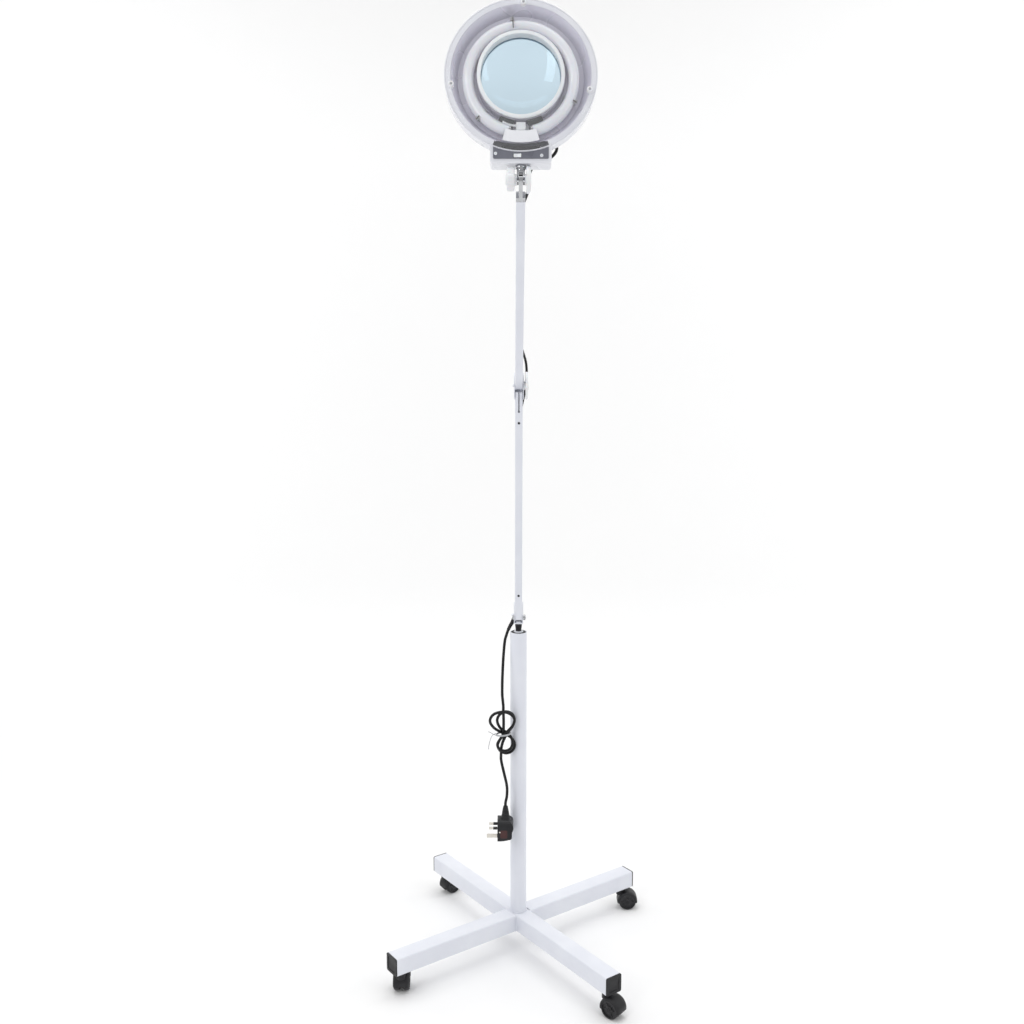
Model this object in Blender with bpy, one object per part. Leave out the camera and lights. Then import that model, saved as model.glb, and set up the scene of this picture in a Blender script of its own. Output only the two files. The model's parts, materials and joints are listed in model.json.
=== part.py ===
"""A floor-standing magnifying lamp on a four-legged caster base, as separate pieces.

Metres, +Z up. The floor is z = 0 and the lamp faces -Y. The origin lies on the floor under the
middle of the lamp's plan outline, so the pole stands POLE_Y behind it. Every piece that moves is
parented to an empty on its joint's axis.
"""

from math import asin, cos, degrees, pi, radians, sin

import bmesh
import bpy
from mathutils import Matrix, Vector
from mathutils.geometry import interpolate_bezier

# ---- Driving dimensions -------------------------------------------------------------------
GAP = 0.0003  # between pieces that touch

# Base: a cross of square steel tube on twin-wheel casters
TUBE = 0.038
TUBE_WALL = 0.0015
LEG_BOTTOM = 0.052
LEG_REACH = 0.320
BASE_YAW = radians(35.9)
POLE_Y = 0.115
CAP_FLANGE = 0.0025
CAP_INSERT = 0.040
CASTER_REACH = 0.298
STEM_R = 0.0052
WHEEL_R = 0.020
WHEEL_WIDTH = 0.0115
WHEEL_SIDES = 20
AXLE_R = 0.004
TRAIL = 0.016
HOOD_R = 0.0237
HOOD_WALL = 0.002
HOOD_HALF = 0.0168
WEB_HALF = 0.004

# Pole and the swivel on top of it
POLE_R = 0.0175
POLE_WALL = 0.0015
POLE_TOP = 0.719
COLLAR_R = 0.0098
PIN_R = 0.006
YOKE_FLOOR = 0.0185  # the yoke's underside above the pole's top

# Arms: square tube, both pivots across the tube
ARM = 0.015
ARM_WALL = 0.0012
LOWER_PIVOT = 0.750
LOWER_ARM = 0.492
LOWER_LEAN = radians(7.6)
UPPER_ARM = 0.544
UPPER_LEAN = radians(51.3)
CHEEK_IN = 0.0081
CHEEK_OUT = 0.0097
CHEEK_HALF = 0.0085
BACK_WEB = 0.010  # the yoke's back web, behind the arm's round end
BOLT_R = 0.003
BRACKET_HALF = 0.026  # the elbow bracket reaches this far below and above the elbow
TUBE_SHORT = 0.012  # the lower arm's tube ends this far below the elbow
TONGUE_SHORT = 0.040  # the upper arm's tube ends this far short of the tilt pivot
SLOT_WIDTH = 0.0022
SLOT_LENGTH = 0.040

# Head: its axes stand on the tilt pivot, +Z towards the lens and -Y out of the lens
HEAD_LEAN = radians(-9.4)
HEAD_RISE = 0.158
HEAD_R = 0.1185
LENS_SIDES = 36
HEAD_WALL = 0.002
HEAD_BACK = 0.021
SHELL_FRONT = -0.014
LENS_R = 0.0635
LENS_EDGE = 0.004
LENS_CROWN = 0.007
LAMP_RING_R = 0.0819
LAMP_TUBE_R = 0.009
LAMP_Y = -0.003
CLIP_ANGLES = {"clip_top": 98.5, "clip_left": 223.0, "clip_right": 336.0}
NECK_HALF = 0.0475
NECK_BOTTOM = -0.136  # below the lens centre
PLATE_HALF = 0.0428
PLATE_BOTTOM = -0.1294
ROCKER_X = -0.0053
ROCKER_Z = -0.1248
ROCKER_SIZE = (0.0124, 0.010, 0.0055)
ROCKER_THROW = radians(8)

# Mains cord: its route beside the pole, from the yoke to the plug, relative to the pole's axis
CORD_R = 0.003
RELIEF_ROUTE = [
    (-0.0085, 0.0170, 0.7502),
    (-0.0087, 0.0169, 0.7455),
    (-0.0122, 0.0158, 0.7370),
    (-0.0180, 0.0135, 0.7270),
    (-0.0215, 0.0120, 0.7200),
]
UPPER_ROUTE = [
    (-0.0216, 0.0119, 0.7197),
    (-0.0245, 0.0100, 0.7120),
    (-0.0290, 0.0055, 0.6960),
    (-0.0330, -0.0060, 0.6440),
    (-0.0343, -0.0200, 0.5900),
    (-0.0320, -0.0275, 0.5650),
    (-0.0320, -0.0275, 0.5573),
]
LOWER_ROUTE = [
    (-0.0370, -0.0275, 0.4547),
    (-0.0370, -0.0275, 0.4480),
    (-0.0350, -0.0300, 0.4370),
    (-0.0300, -0.0350, 0.4170),
    (-0.0245, -0.0400, 0.3920),
    (-0.0245, -0.0420, 0.3720),
    (-0.0275, -0.0420, 0.3555),
    (-0.0275, -0.0420, 0.3489),
]
HANK_LOW = (-0.063, -0.0360, 0.4550)
HANK_HIGH = (-0.005, -0.0195, 0.5570)
PLUG_CENTRE = (-0.0275, -0.0420, 0.3055)
PLUG_SIZE = (0.034, 0.044, 0.058)

# Lamp lead: the loops that it makes outside the arms, in the frame of the joint beside each
LEAD_R = 0.0025
LOWER_LEAD_HOLE = 0.4240  # along the lower arm from its pivot
UPPER_LEAD_HOLES = (0.0794, 0.4480)  # along the upper arm from the elbow
ELBOW_LEAD = [  # in the lower arm's frame, from the upper arm's top face to the lower arm's back
    (0.0000, -0.0499, 0.5541),
    (0.0000, -0.0447, 0.5591),
    (0.0020, -0.0300, 0.5690),
    (0.0045, -0.0060, 0.5680),
    (0.0085, 0.0160, 0.5540),
    (0.0140, 0.0290, 0.5330),
    (0.0155, 0.0330, 0.5100),
    (0.0130, 0.0330, 0.4800),
    (0.0060, 0.0240, 0.4480),
    (0.0000, 0.0125, 0.4250),
    (0.0000, 0.0068, 0.4240),
]
HEAD_LEAD_ARM = [  # in the head's frame, from the upper arm's top face to behind the fork
    (0.0000, 0.0871, -0.0411),
    (0.0000, 0.0903, -0.0353),
    (0.0010, 0.0900, -0.0235),
    (0.0060, 0.0790, -0.0120),
    (0.0105, 0.0620, -0.0045),
    (0.0125, 0.0480, 0.0012),
]
HEAD_LEAD_HEAD = [  # in the head's frame, from behind the fork to the back of the shell
    (0.0126, 0.0474, 0.0014),
    (0.0132, 0.0430, 0.0032),
    (0.0140, 0.0380, 0.0130),
    (0.0155, 0.0360, 0.0245),
    (0.0225, 0.0345, 0.0330),
    (0.0340, 0.0335, 0.0390),
    (0.0480, 0.0330, 0.0455),
    (0.0570, 0.0330, 0.0580),
    (0.0525, 0.0345, 0.0755),
    (0.0440, 0.0216, 0.0860),
]


# ---- Meshes ---------------------------------------------------------------------------------
def to_mesh(points, faces):
    """A closed mesh with its faces turned outwards."""
    shape = bmesh.new()
    corners = [shape.verts.new(point) for point in points]
    for face in faces:
        shape.faces.new([corners[i] for i in face])
    bmesh.ops.recalc_face_normals(shape, faces=shape.faces)
    mesh = bpy.data.meshes.new("mesh")
    shape.to_mesh(mesh)
    shape.free()
    return mesh


def turned(profile, sides=32, phase=0.0, ring=False):
    """Spins (radius, height) points about Z. A ring's profile closes on itself and never meets the axis."""
    points, rows = [], []
    for radius, height in profile:
        if radius == 0:
            rows.append([len(points)])
            points.append((0, 0, height))
            continue
        rows.append(list(range(len(points), len(points) + sides)))
        for i in range(sides):
            angle = phase + 2 * pi * i / sides
            points.append((radius * cos(angle), radius * sin(angle), height))
    faces = []
    pairs = list(zip(rows, rows[1:]))
    if ring:
        pairs.append((rows[-1], rows[0]))
    for low, high in pairs:
        for i in range(sides):
            j = (i + 1) % sides
            corners = [low[i % len(low)], low[j % len(low)], high[j % len(high)], high[i % len(high)]]
            faces.append(list(dict.fromkeys(corners)))
    return to_mesh(points, faces)


def rod(radius, low, high, sides=20):
    return turned([(0, low), (radius, low), (radius, high), (0, high)], sides)


def block(low, high):
    x, y, z = zip(low, high)
    points = [(x[i & 1], y[i >> 1 & 1], z[i >> 2 & 1]) for i in range(8)]
    faces = [(0, 1, 3, 2), (4, 5, 7, 6), (0, 1, 5, 4), (2, 3, 7, 6), (0, 2, 6, 4), (1, 3, 7, 5)]
    return to_mesh(points, faces)


def slab(outline, low, high, axis="Z"):
    """Extrudes an outline along an axis. Its points are (y, z) for X, (x, z) for Y and (x, y) for Z."""
    place = {
        "X": lambda a, b, h: (h, a, b),
        "Y": lambda a, b, h: (a, h, b),
        "Z": lambda a, b, h: (a, b, h),
    }[axis]
    count = len(outline)
    points = [place(a, b, low) for a, b in outline] + [place(a, b, high) for a, b in outline]
    sides = [(i, (i + 1) % count, count + (i + 1) % count, count + i) for i in range(count)]
    return to_mesh(points, [tuple(range(count)), tuple(range(count, 2 * count))] + sides)


def arc(centre, radius, start, end, steps):
    """Points on a circle from one angle to another, in degrees, with both ends."""
    angles = [radians(start + (end - start) * i / steps) for i in range(steps + 1)]
    return [(centre[0] + radius * cos(a), centre[1] + radius * sin(a)) for a in angles]


def rounded(low, high, radius, steps=3):
    """A rectangle with round corners."""
    (x0, y0), (x1, y1) = low, high
    corners = [(x1 - radius, y0 + radius, -90), (x1 - radius, y1 - radius, 0)]
    corners += [(x0 + radius, y1 - radius, 90), (x0 + radius, y0 + radius, 180)]
    return [p for x, y, start in corners for p in arc((x, y), radius, start, start + 90, steps)]


def moved(mesh, offset=(0, 0, 0), turn=0.0, axis="Z"):
    """The mesh turned about an axis through the origin, then shifted."""
    mesh.transform(Matrix.Translation(offset) @ Matrix.Rotation(turn, 4, axis))
    return mesh


def combined(first, others, operation):
    """The first mesh with the others joined to it or cut from it, by exact Booleans."""
    body = bpy.data.objects.new("body", first)
    helpers = [bpy.data.objects.new("helper", mesh) for mesh in others]
    for item in [body] + helpers:
        bpy.context.scene.collection.objects.link(item)
    for helper in helpers:
        step = body.modifiers.new("step", "BOOLEAN")
        step.operation = operation
        step.solver = "EXACT"
        step.object = helper
    bpy.context.view_layer.update()
    mesh = bpy.data.meshes.new_from_object(body.evaluated_get(bpy.context.evaluated_depsgraph_get()))
    for item in [body] + helpers:
        bpy.data.objects.remove(item)
    return mesh


def joined(first, *others):
    return combined(first, others, "UNION")


def carved(first, *others):
    return combined(first, others, "DIFFERENCE")


def square_tube(side, wall, low, high):
    """A square tube along Z with both ends open."""
    half, inner = side / 2, side / 2 - wall
    corners = [(-1, -1), (1, -1), (1, 1), (-1, 1)]
    points = [(x * r, y * r, z) for z in (low, high) for r in (half, inner) for x, y in corners]
    faces = []
    for i in range(4):
        j = (i + 1) % 4
        faces += [(i, j, j + 8, i + 8), (i + 4, j + 4, j + 12, i + 12)]
        faces += [(i, j, j + 4, i + 4), (i + 8, j + 8, j + 12, i + 12)]
    return to_mesh(points, faces)


def smooth_route(points, spacing):
    """Points a spacing apart along one smooth curve through the given points."""
    ends = [Vector(p) for p in points]
    slopes = [ends[min(i + 1, len(ends) - 1)] - ends[max(i - 1, 0)] for i in range(len(ends))]
    route = [ends[0]]
    for i in range(len(ends) - 1):
        reach = (ends[i + 1] - ends[i]).length / 3
        near = ends[i] + slopes[i].normalized() * reach
        far = ends[i + 1] - slopes[i + 1].normalized() * reach
        count = max(2, round(3 * reach / spacing)) + 1
        route += interpolate_bezier(ends[i], near, far, ends[i + 1], count)[1:]
    return route


def tube_along(name, route, radii, look, parent, roundness=2):
    """A tube as a curve object. radii gives its first and last radius."""
    curve = bpy.data.curves.new(name, "CURVE")
    curve.dimensions = "3D"
    curve.bevel_depth = 1.0
    curve.bevel_resolution = roundness
    curve.use_fill_caps = True
    spline = curve.splines.new("POLY")
    spline.points.add(len(route) - 1)
    for i, (point, place) in enumerate(zip(spline.points, route)):
        point.co = (*place, 1)
        point.radius = radii[0] + (radii[1] - radii[0]) * i / (len(route) - 1)
    curve.materials.append(look)
    piece = bpy.data.objects.new(name, curve)
    piece.parent = parent
    bpy.context.scene.collection.objects.link(piece)
    return piece


def add(name, mesh, look, parent, offset=(0, 0, 0), turn=0.0, axis="Z"):
    """Puts a mesh in the scene as a named piece, turned about one axis and placed on its parent."""
    if not mesh.materials:
        mesh.materials.append(look)
    mesh.shade_smooth()
    mesh.set_sharp_from_angle(angle=radians(35))
    piece = bpy.data.objects.new(name, mesh)
    piece.parent = parent
    piece.location = offset
    piece.rotation_euler["XYZ".index(axis)] = turn
    bpy.context.scene.collection.objects.link(piece)
    return piece


def pivot(name, parent=None, offset=(0, 0, 0), turn=0.0, axis="X"):
    """An empty on a joint's axis."""
    empty = bpy.data.objects.new(name, None)
    empty.parent = parent
    empty.location = offset
    empty.rotation_euler["XYZ".index(axis)] = turn
    bpy.context.scene.collection.objects.link(empty)
    return empty


def paint(name, colour, roughness, metallic=0.0, alpha=1.0):
    look = bpy.data.materials.new(name)
    look.use_nodes = True
    shader = look.node_tree.nodes["Principled BSDF"]
    shader.inputs["Base Color"].default_value = (*colour, 1)
    shader.inputs["Roughness"].default_value = roughness
    shader.inputs["Metallic"].default_value = metallic
    shader.inputs["Alpha"].default_value = alpha
    return look


def clear_scene():
    for item in list(bpy.data.objects):
        bpy.data.objects.remove(item)


# ---- Base -----------------------------------------------------------------------------------
def make_base(looks):
    """The cross: one tube right through, two half legs that butt onto it, end caps and the bolt."""
    cross = pivot("base_axis", offset=(0, POLE_Y, LEG_BOTTOM + TUBE / 2), turn=BASE_YAW, axis="Z")
    reach = LEG_REACH - CAP_FLANGE - GAP
    stem_hole = STEM_R + 0.0005

    def leg_tube(low, high, stems):
        mesh = square_tube(TUBE, TUBE_WALL, low, high)
        mesh = moved(mesh, turn=pi / 2, axis="Y")
        cutters = [moved(rod(stem_hole, -TUBE, 0), (x, 0, 0)) for x in stems]
        return carved(mesh, *cutters)

    long_tube = leg_tube(-reach, reach, (-CASTER_REACH, CASTER_REACH))
    long_tube = carved(long_tube, rod(0.0054, -TUBE, TUBE))
    add("base_tube_long", long_tube, looks["white"], cross, turn=pi / 2)
    half_leg = leg_tube(TUBE / 2 + GAP, reach, (CASTER_REACH,))
    add("base_tube_back_right", half_leg, looks["white"], cross)
    add("base_tube_front_left", half_leg, looks["white"], cross, turn=pi)

    flange = moved(block((-TUBE / 2, -TUBE / 2, 0), (TUBE / 2, TUBE / 2, CAP_FLANGE)), (0, 0, reach + GAP))
    grip = TUBE / 2 - TUBE_WALL - GAP
    insert = block((-grip, -grip, reach - CAP_INSERT), (grip, grip, reach + 2 * GAP))
    socket = moved(rod(STEM_R + GAP, -TUBE, 0.012), (CASTER_REACH, 0, 0))
    cap = carved(moved(joined(flange, insert), turn=pi / 2, axis="Y"), socket)
    for i, corner in enumerate(("back_right", "back_left", "front_left", "front_right")):
        add("end_cap_" + corner, cap, looks["black"], cross, turn=i * pi / 2)

    hexagon = 0.0098
    bolt = turned([(0, -0.0073), (hexagon, -0.0073), (hexagon, -GAP), (0, -GAP)], 6)
    nut_low = TUBE + GAP + 0.006 + GAP
    nut = turned([(0, nut_low), (hexagon, nut_low), (hexagon, nut_low + 0.008), (0, nut_low + 0.008)], 6)
    bolt = joined(bolt, rod(0.005, -0.004, nut_low + 0.014, 12), nut)
    add("centre_bolt", bolt, looks["steel"], cross, (0, 0, -TUBE / 2))
    return cross


def hood_mesh():
    """The caster's horn: a fender over both wheels, the web between them, axle, boss and stem.

    The swivel axis is Z through the origin, and the axle is TRAIL along +X from it.
    """
    hub = (TRAIL, WHEEL_R)
    outer = arc(hub, HOOD_R, -4, 188, 12)
    fender = outer + arc(hub, HOOD_R - HOOD_WALL, 188, -4, 12)
    web = arc(hub, HOOD_R - HOOD_WALL / 2, -4, 188, 12) + arc(hub, 0.012, 200, 340, 4)
    boss = rod(0.0095, LEG_BOTTOM - 0.018, LEG_BOTTOM - GAP, 16)
    stem = rod(STEM_R, LEG_BOTTOM - 0.006, LEG_BOTTOM + 0.028, 12)
    axle = moved(rod(AXLE_R, -HOOD_HALF + 0.0004, HOOD_HALF - 0.0004, 12), turn=pi / 2, axis="X")
    axle = moved(axle, (hub[0], 0, hub[1]))
    room = arc(hub, HOOD_R - HOOD_WALL * 1.3, 0, 345, 23)
    boss = carved(boss, slab(room, WEB_HALF, 0.02, "Y"), slab(room, -0.02, -WEB_HALF, "Y"))
    return joined(
        slab(fender, -HOOD_HALF, HOOD_HALF, "Y"), slab(web, -WEB_HALF, WEB_HALF, "Y"), boss, stem, axle
    )


def wheel_mesh():
    """One caster wheel about its own axle, Z here: a tread with soft shoulders and a dished face."""
    width = WHEEL_WIDTH
    bore = AXLE_R + GAP
    profile = [(bore, 0), (WHEEL_R, 0), (WHEEL_R, width - 0.003), (WHEEL_R - 0.003, width)]
    profile += [(WHEEL_R - 0.005, width), (WHEEL_R - 0.007, width - 0.002), (bore, width - 0.001)]
    return turned(profile, WHEEL_SIDES, phase=pi / WHEEL_SIDES, ring=True)


def make_casters(looks):
    """Four casters. Each trails its own way, because casters swivel freely."""
    hood = hood_mesh()
    wheel = wheel_mesh()
    trails = {"back_right": 0, "back_left": 41, "front_left": 90, "front_right": -40}
    hub_height = WHEEL_R * cos(pi / WHEEL_SIDES)
    for i, (corner, trail) in enumerate(trails.items()):
        angle = BASE_YAW + i * pi / 2
        place = (CASTER_REACH * cos(angle), POLE_Y + CASTER_REACH * sin(angle), hub_height - WHEEL_R)
        swivel = pivot("caster_axis_" + corner, offset=place, turn=radians(trail), axis="Z")
        add("caster_hood_" + corner, hood, looks["black"], swivel)
        axle = pivot("axle_axis_" + corner, swivel, (TRAIL, 0, WHEEL_R))
        side = WEB_HALF + 2 * GAP
        add("wheel_a_" + corner, wheel, looks["rubber"], axle, (0, -side, 0), pi / 2, "X")
        add("wheel_b_" + corner, wheel, looks["rubber"], axle, (0, side, 0), -pi / 2, "X")


# ---- Pole and yoke --------------------------------------------------------------------------
def make_pole(looks):
    foot = LEG_BOTTOM + TUBE + GAP
    inner = POLE_R - POLE_WALL
    axis = pivot("pole_axis", offset=(0, POLE_Y, 0))
    profile = [
        (POLE_R, foot),
        (POLE_R, POLE_TOP),
        (inner, POLE_TOP),
        (inner, foot + 0.006),
        (0.0054, foot + 0.006),
        (0.0054, foot),
    ]
    add("pole", turned(profile, 36, ring=True), looks["white"], axis)
    top = POLE_TOP - 0.0005
    bush = [(inner - GAP, top - 0.040), (inner - GAP, top), (PIN_R + GAP, top), (PIN_R + GAP, top - 0.040)]
    add("pole_bush", turned(bush, 28, ring=True), looks["black"], axis)


def cheek(low, high):
    """The side outline of a bracket cheek as (y, z), square at the bottom and round at the top."""
    return [(-CHEEK_HALF, low), (CHEEK_HALF, low)] + arc((0, high - CHEEK_HALF), CHEEK_HALF, 0, 180, 10)


def cross_bore(radius, height, half=0.03):
    return moved(moved(rod(radius, -half, half, 16), turn=pi / 2, axis="Y"), (0, 0, height))


def make_yoke(looks):
    """The swivel pin, its sleeve and the U bracket that carries the lower arm."""
    axis = pivot("yoke_axis", offset=(0, POLE_Y, POLE_TOP), axis="Z")
    collar_low = -0.0005 + GAP
    collar_high = collar_low + 0.002
    floor, plate = YOKE_FLOOR, 0.002
    neck_r = 0.0048
    head_low = floor + plate + GAP
    pin = [
        (0, -0.036),
        (PIN_R, -0.036),
        (PIN_R, collar_low),
        (COLLAR_R, collar_low),
        (COLLAR_R, collar_high),
        (neck_r, collar_high),
        (neck_r, head_low),
        (0.0068, head_low),
        (0.0060, head_low + 0.002),
        (0, head_low + 0.002),
    ]
    add("swivel_pin", turned(pin, 24), looks["white"], axis)
    low, high, bore = collar_high + GAP, floor - GAP, neck_r + GAP
    sleeve = [(0.0056, low), (0.0072, high - 0.003), (0.0072, high), (bore, high), (bore, low)]
    add("tapered_sleeve", turned(sleeve, 24, ring=True), looks["black"], axis)

    rise = LOWER_PIVOT - POLE_TOP
    side = cheek(floor, rise + 0.033)
    base = block((-CHEEK_OUT, -CHEEK_HALF, floor), (CHEEK_OUT, BACK_WEB + 0.0016, floor + plate))
    web = block((-CHEEK_OUT, BACK_WEB, floor), (CHEEK_OUT, BACK_WEB + 0.0016, rise + 0.0025))
    tab = block((-0.0145, BACK_WEB, rise + 0.0005), (-0.0025, 0.0225, rise + 0.0025))
    cheeks = [slab(side, CHEEK_IN, CHEEK_OUT, "X"), slab(side, -CHEEK_OUT, -CHEEK_IN, "X")]
    yoke = joined(base, web, tab, *cheeks)
    yoke = carved(yoke, rod(neck_r + GAP, 0, 0.03), cross_bore(BOLT_R + GAP, rise))
    add("yoke", yoke, looks["white"], axis)

    seat = CHEEK_OUT + GAP
    bolt = [
        (0, -seat - 0.0032),
        (0.0036, -seat - 0.0028),
        (0.0058, -seat - 0.0008),
        (0.0058, -seat),
        (BOLT_R, -seat),
        (BOLT_R, seat),
        (0.0058, seat),
        (0.0058, seat + 0.0036),
        (0.0036, seat + 0.0052),
        (0, seat + 0.0054),
    ]
    hinge = pivot("lower_pivot_axis", axis, (0, 0, rise))
    add("lower_pivot_bolt", moved(turned(bolt, 20), turn=pi / 2, axis="Y"), looks["steel"], hinge)
    return axis


def make_cord(looks):
    """The mains cord from behind the yoke down to the plug. It hangs clear beside the pole."""
    axis = pivot("cord_axis", offset=(0, POLE_Y, 0))
    relief = smooth_route(RELIEF_ROUTE, 0.004)
    tube_along("cord_gland", relief, (0.0048, 0.0037), looks["black"], axis)
    upper = smooth_route(UPPER_ROUTE, 0.013)
    tube_along("cord_upper", upper, (CORD_R, CORD_R), looks["black"], axis)
    lower = smooth_route(LOWER_ROUTE, 0.013)
    tube_along("cord_lower", lower, (CORD_R, CORD_R), looks["black"], axis)
    outline = rounded((HANK_LOW[0], HANK_LOW[2]), (HANK_HIGH[0], HANK_HIGH[2]), 0.024, 5)
    add("cord_hank", slab(outline, HANK_LOW[1], HANK_HIGH[1], "Y"), looks["black"], axis)

    plug = pivot("plug_axis", axis, PLUG_CENTRE)
    half = [size / 2 for size in PLUG_SIZE]
    body = slab(rounded((-half[1], -half[2]), (half[1], half[2] - 0.012), 0.008, 3), -half[0], half[0], "X")
    boot = turned([(0, -0.02), (0.0085, -0.02), (0.0050, 0.0145), (0, 0.0145)], 16)
    boot = moved(boot, (0, 0, half[2] - 0.0005))
    add("plug_body", joined(body, boot), looks["black"], plug)
    face = -half[0] - GAP
    line = half[2] - 0.012 - 0.0185
    for name, y, z, length, wide, tall in (
        ("earth_pin", 0, line - 0.0222, 0.0227, 0.004, 0.008),
        ("line_pin", -0.0111, line, 0.0177, 0.0063, 0.004),
        ("neutral_pin", 0.0111, line, 0.0177, 0.0063, 0.004),
    ):
        low = (face - length, y - wide / 2, z - tall / 2)
        add(name, block(low, (face, y + wide / 2, z + tall / 2)), looks["brass"], plug)


# ---- Arms -----------------------------------------------------------------------------------
def arm_tube(low, high, round_low=True):
    """A square arm tube along Z. Its lower end is rounded about a pivot bolt through the origin."""
    mesh = square_tube(ARM, ARM_WALL, -ARM if round_low else low, high)
    if round_low:
        half = ARM / 2
        corner = [(-ARM, 0), (-half - 0.0005, 0)] + arc((0, 0), half, 180, 360, 12)
        corner += [(half + 0.0005, 0), (ARM, 0), (ARM, -2 * ARM), (-ARM, -2 * ARM)]
        mesh = carved(mesh, slab(corner, -ARM, ARM, "X"))
    return carved(mesh, cross_bore(BOLT_R + GAP, 0))


def lead_hole(height):
    """A cutter for the hole in an arm's +Y face that the lamp lead passes through."""
    return moved(moved(rod(LEAD_R + 0.0008, 0.003, 0.012, 16), turn=-pi / 2, axis="X"), (0, 0, height))


def spring(low, high):
    """A tension spring's closed coils, as the sleeve that they fill."""
    return turned([(0.0048, low), (0.0048, high), (0.0032, high), (0.0032, low)], 12, ring=True)


def make_lower_arm(looks, yoke_axis):
    """The lower arm's tube and spring, and the elbow bracket that is riveted to its top."""
    axis = pivot("lower_arm_axis", yoke_axis, (0, 0, LOWER_PIVOT - POLE_TOP), LOWER_LEAN)
    tube_end = LOWER_ARM - TUBE_SHORT
    tube = arm_tube(-ARM / 2, tube_end)
    slot_low = tube_end - SLOT_LENGTH
    slot = block((-SLOT_WIDTH / 2, -ARM, slot_low), (SLOT_WIDTH / 2, -0.004, LOWER_ARM))
    add("lower_arm_tube", carved(tube, slot, lead_hole(LOWER_LEAD_HOLE)), looks["white"], axis)
    add("lower_spring", spring(0.055, 0.330), looks["steel"], axis)

    low = LOWER_ARM - BRACKET_HALF
    side = cheek(low, LOWER_ARM + BRACKET_HALF)
    back = block((-CHEEK_OUT, CHEEK_HALF - 0.0005, low), (CHEEK_OUT, CHEEK_HALF + 0.0011, low + 0.017))
    bracket = joined(slab(side, CHEEK_IN, CHEEK_OUT, "X"), slab(side, -CHEEK_OUT, -CHEEK_IN, "X"), back)
    add("elbow_bracket", carved(bracket, cross_bore(BOLT_R + GAP, LOWER_ARM)), looks["white"], axis)

    lead = smooth_route(ELBOW_LEAD, 0.010)
    tube_along("elbow_lead", lead, (LEAD_R, LEAD_R), looks["black"], axis)
    return axis


def lobed_knob(radius, lobes, depth, seat, stud_end, fluting):
    """A hand knob along +X from seat, with its stud reaching back to stud_end."""
    outline = []
    steps = lobes * 6
    for i in range(steps):
        angle = 2 * pi * i / steps
        reach = radius * (1 - fluting + fluting * cos(lobes * angle))
        outline.append((reach * cos(angle), reach * sin(angle)))
    grip = slab(outline, seat + 0.003, seat + depth, "X")
    hub = moved(rod(0.0085, seat, seat + depth + 0.0015, 16), turn=pi / 2, axis="Y")
    stud = moved(rod(BOLT_R, stud_end, seat + 0.004, 14), turn=pi / 2, axis="Y")
    return joined(grip, hub, stud)


def make_elbow_knob(looks, lower_axis):
    axis = pivot("elbow_axis", lower_axis, (0, 0, LOWER_ARM))
    knob = lobed_knob(0.0275, 8, 0.0075, CHEEK_OUT + GAP, -CHEEK_OUT - 0.0025, 0.04)
    add("elbow_knob", knob, looks["white_plastic"], axis)
    return axis


def make_upper_arm(looks, elbow_axis):
    """The upper arm's tube and spring, and the chrome tongue plugged into its end."""
    axis = pivot("upper_arm_axis", elbow_axis, turn=UPPER_LEAN - LOWER_LEAN)
    tube = arm_tube(-ARM / 2, UPPER_ARM - TONGUE_SHORT)
    add("upper_arm_tube", carved(tube, *map(lead_hole, UPPER_LEAD_HOLES)), looks["white"], axis)
    add("upper_spring", spring(0.115, 0.405), looks["steel"], axis)

    tip = pivot("tongue_axis", axis, (0, 0, UPPER_ARM))
    outline = arc((0, 0), 0.0075, 0, 180, 12) + [(-0.0075, -0.034), (0.0075, -0.034)]
    blade = slab(outline, -0.0031, 0.0031, "X")
    collar = block((-ARM / 2, -ARM / 2, -0.0397), (ARM / 2, ARM / 2, -0.031))
    grip = ARM / 2 - ARM_WALL - GAP
    plug = block((-grip, -grip, -0.062), (grip, grip, -0.039))
    tongue = carved(joined(collar, blade, plug), cross_bore(BOLT_R + GAP, 0))
    add("arm_tongue", tongue, looks["chrome"], tip)
    return tip


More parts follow.
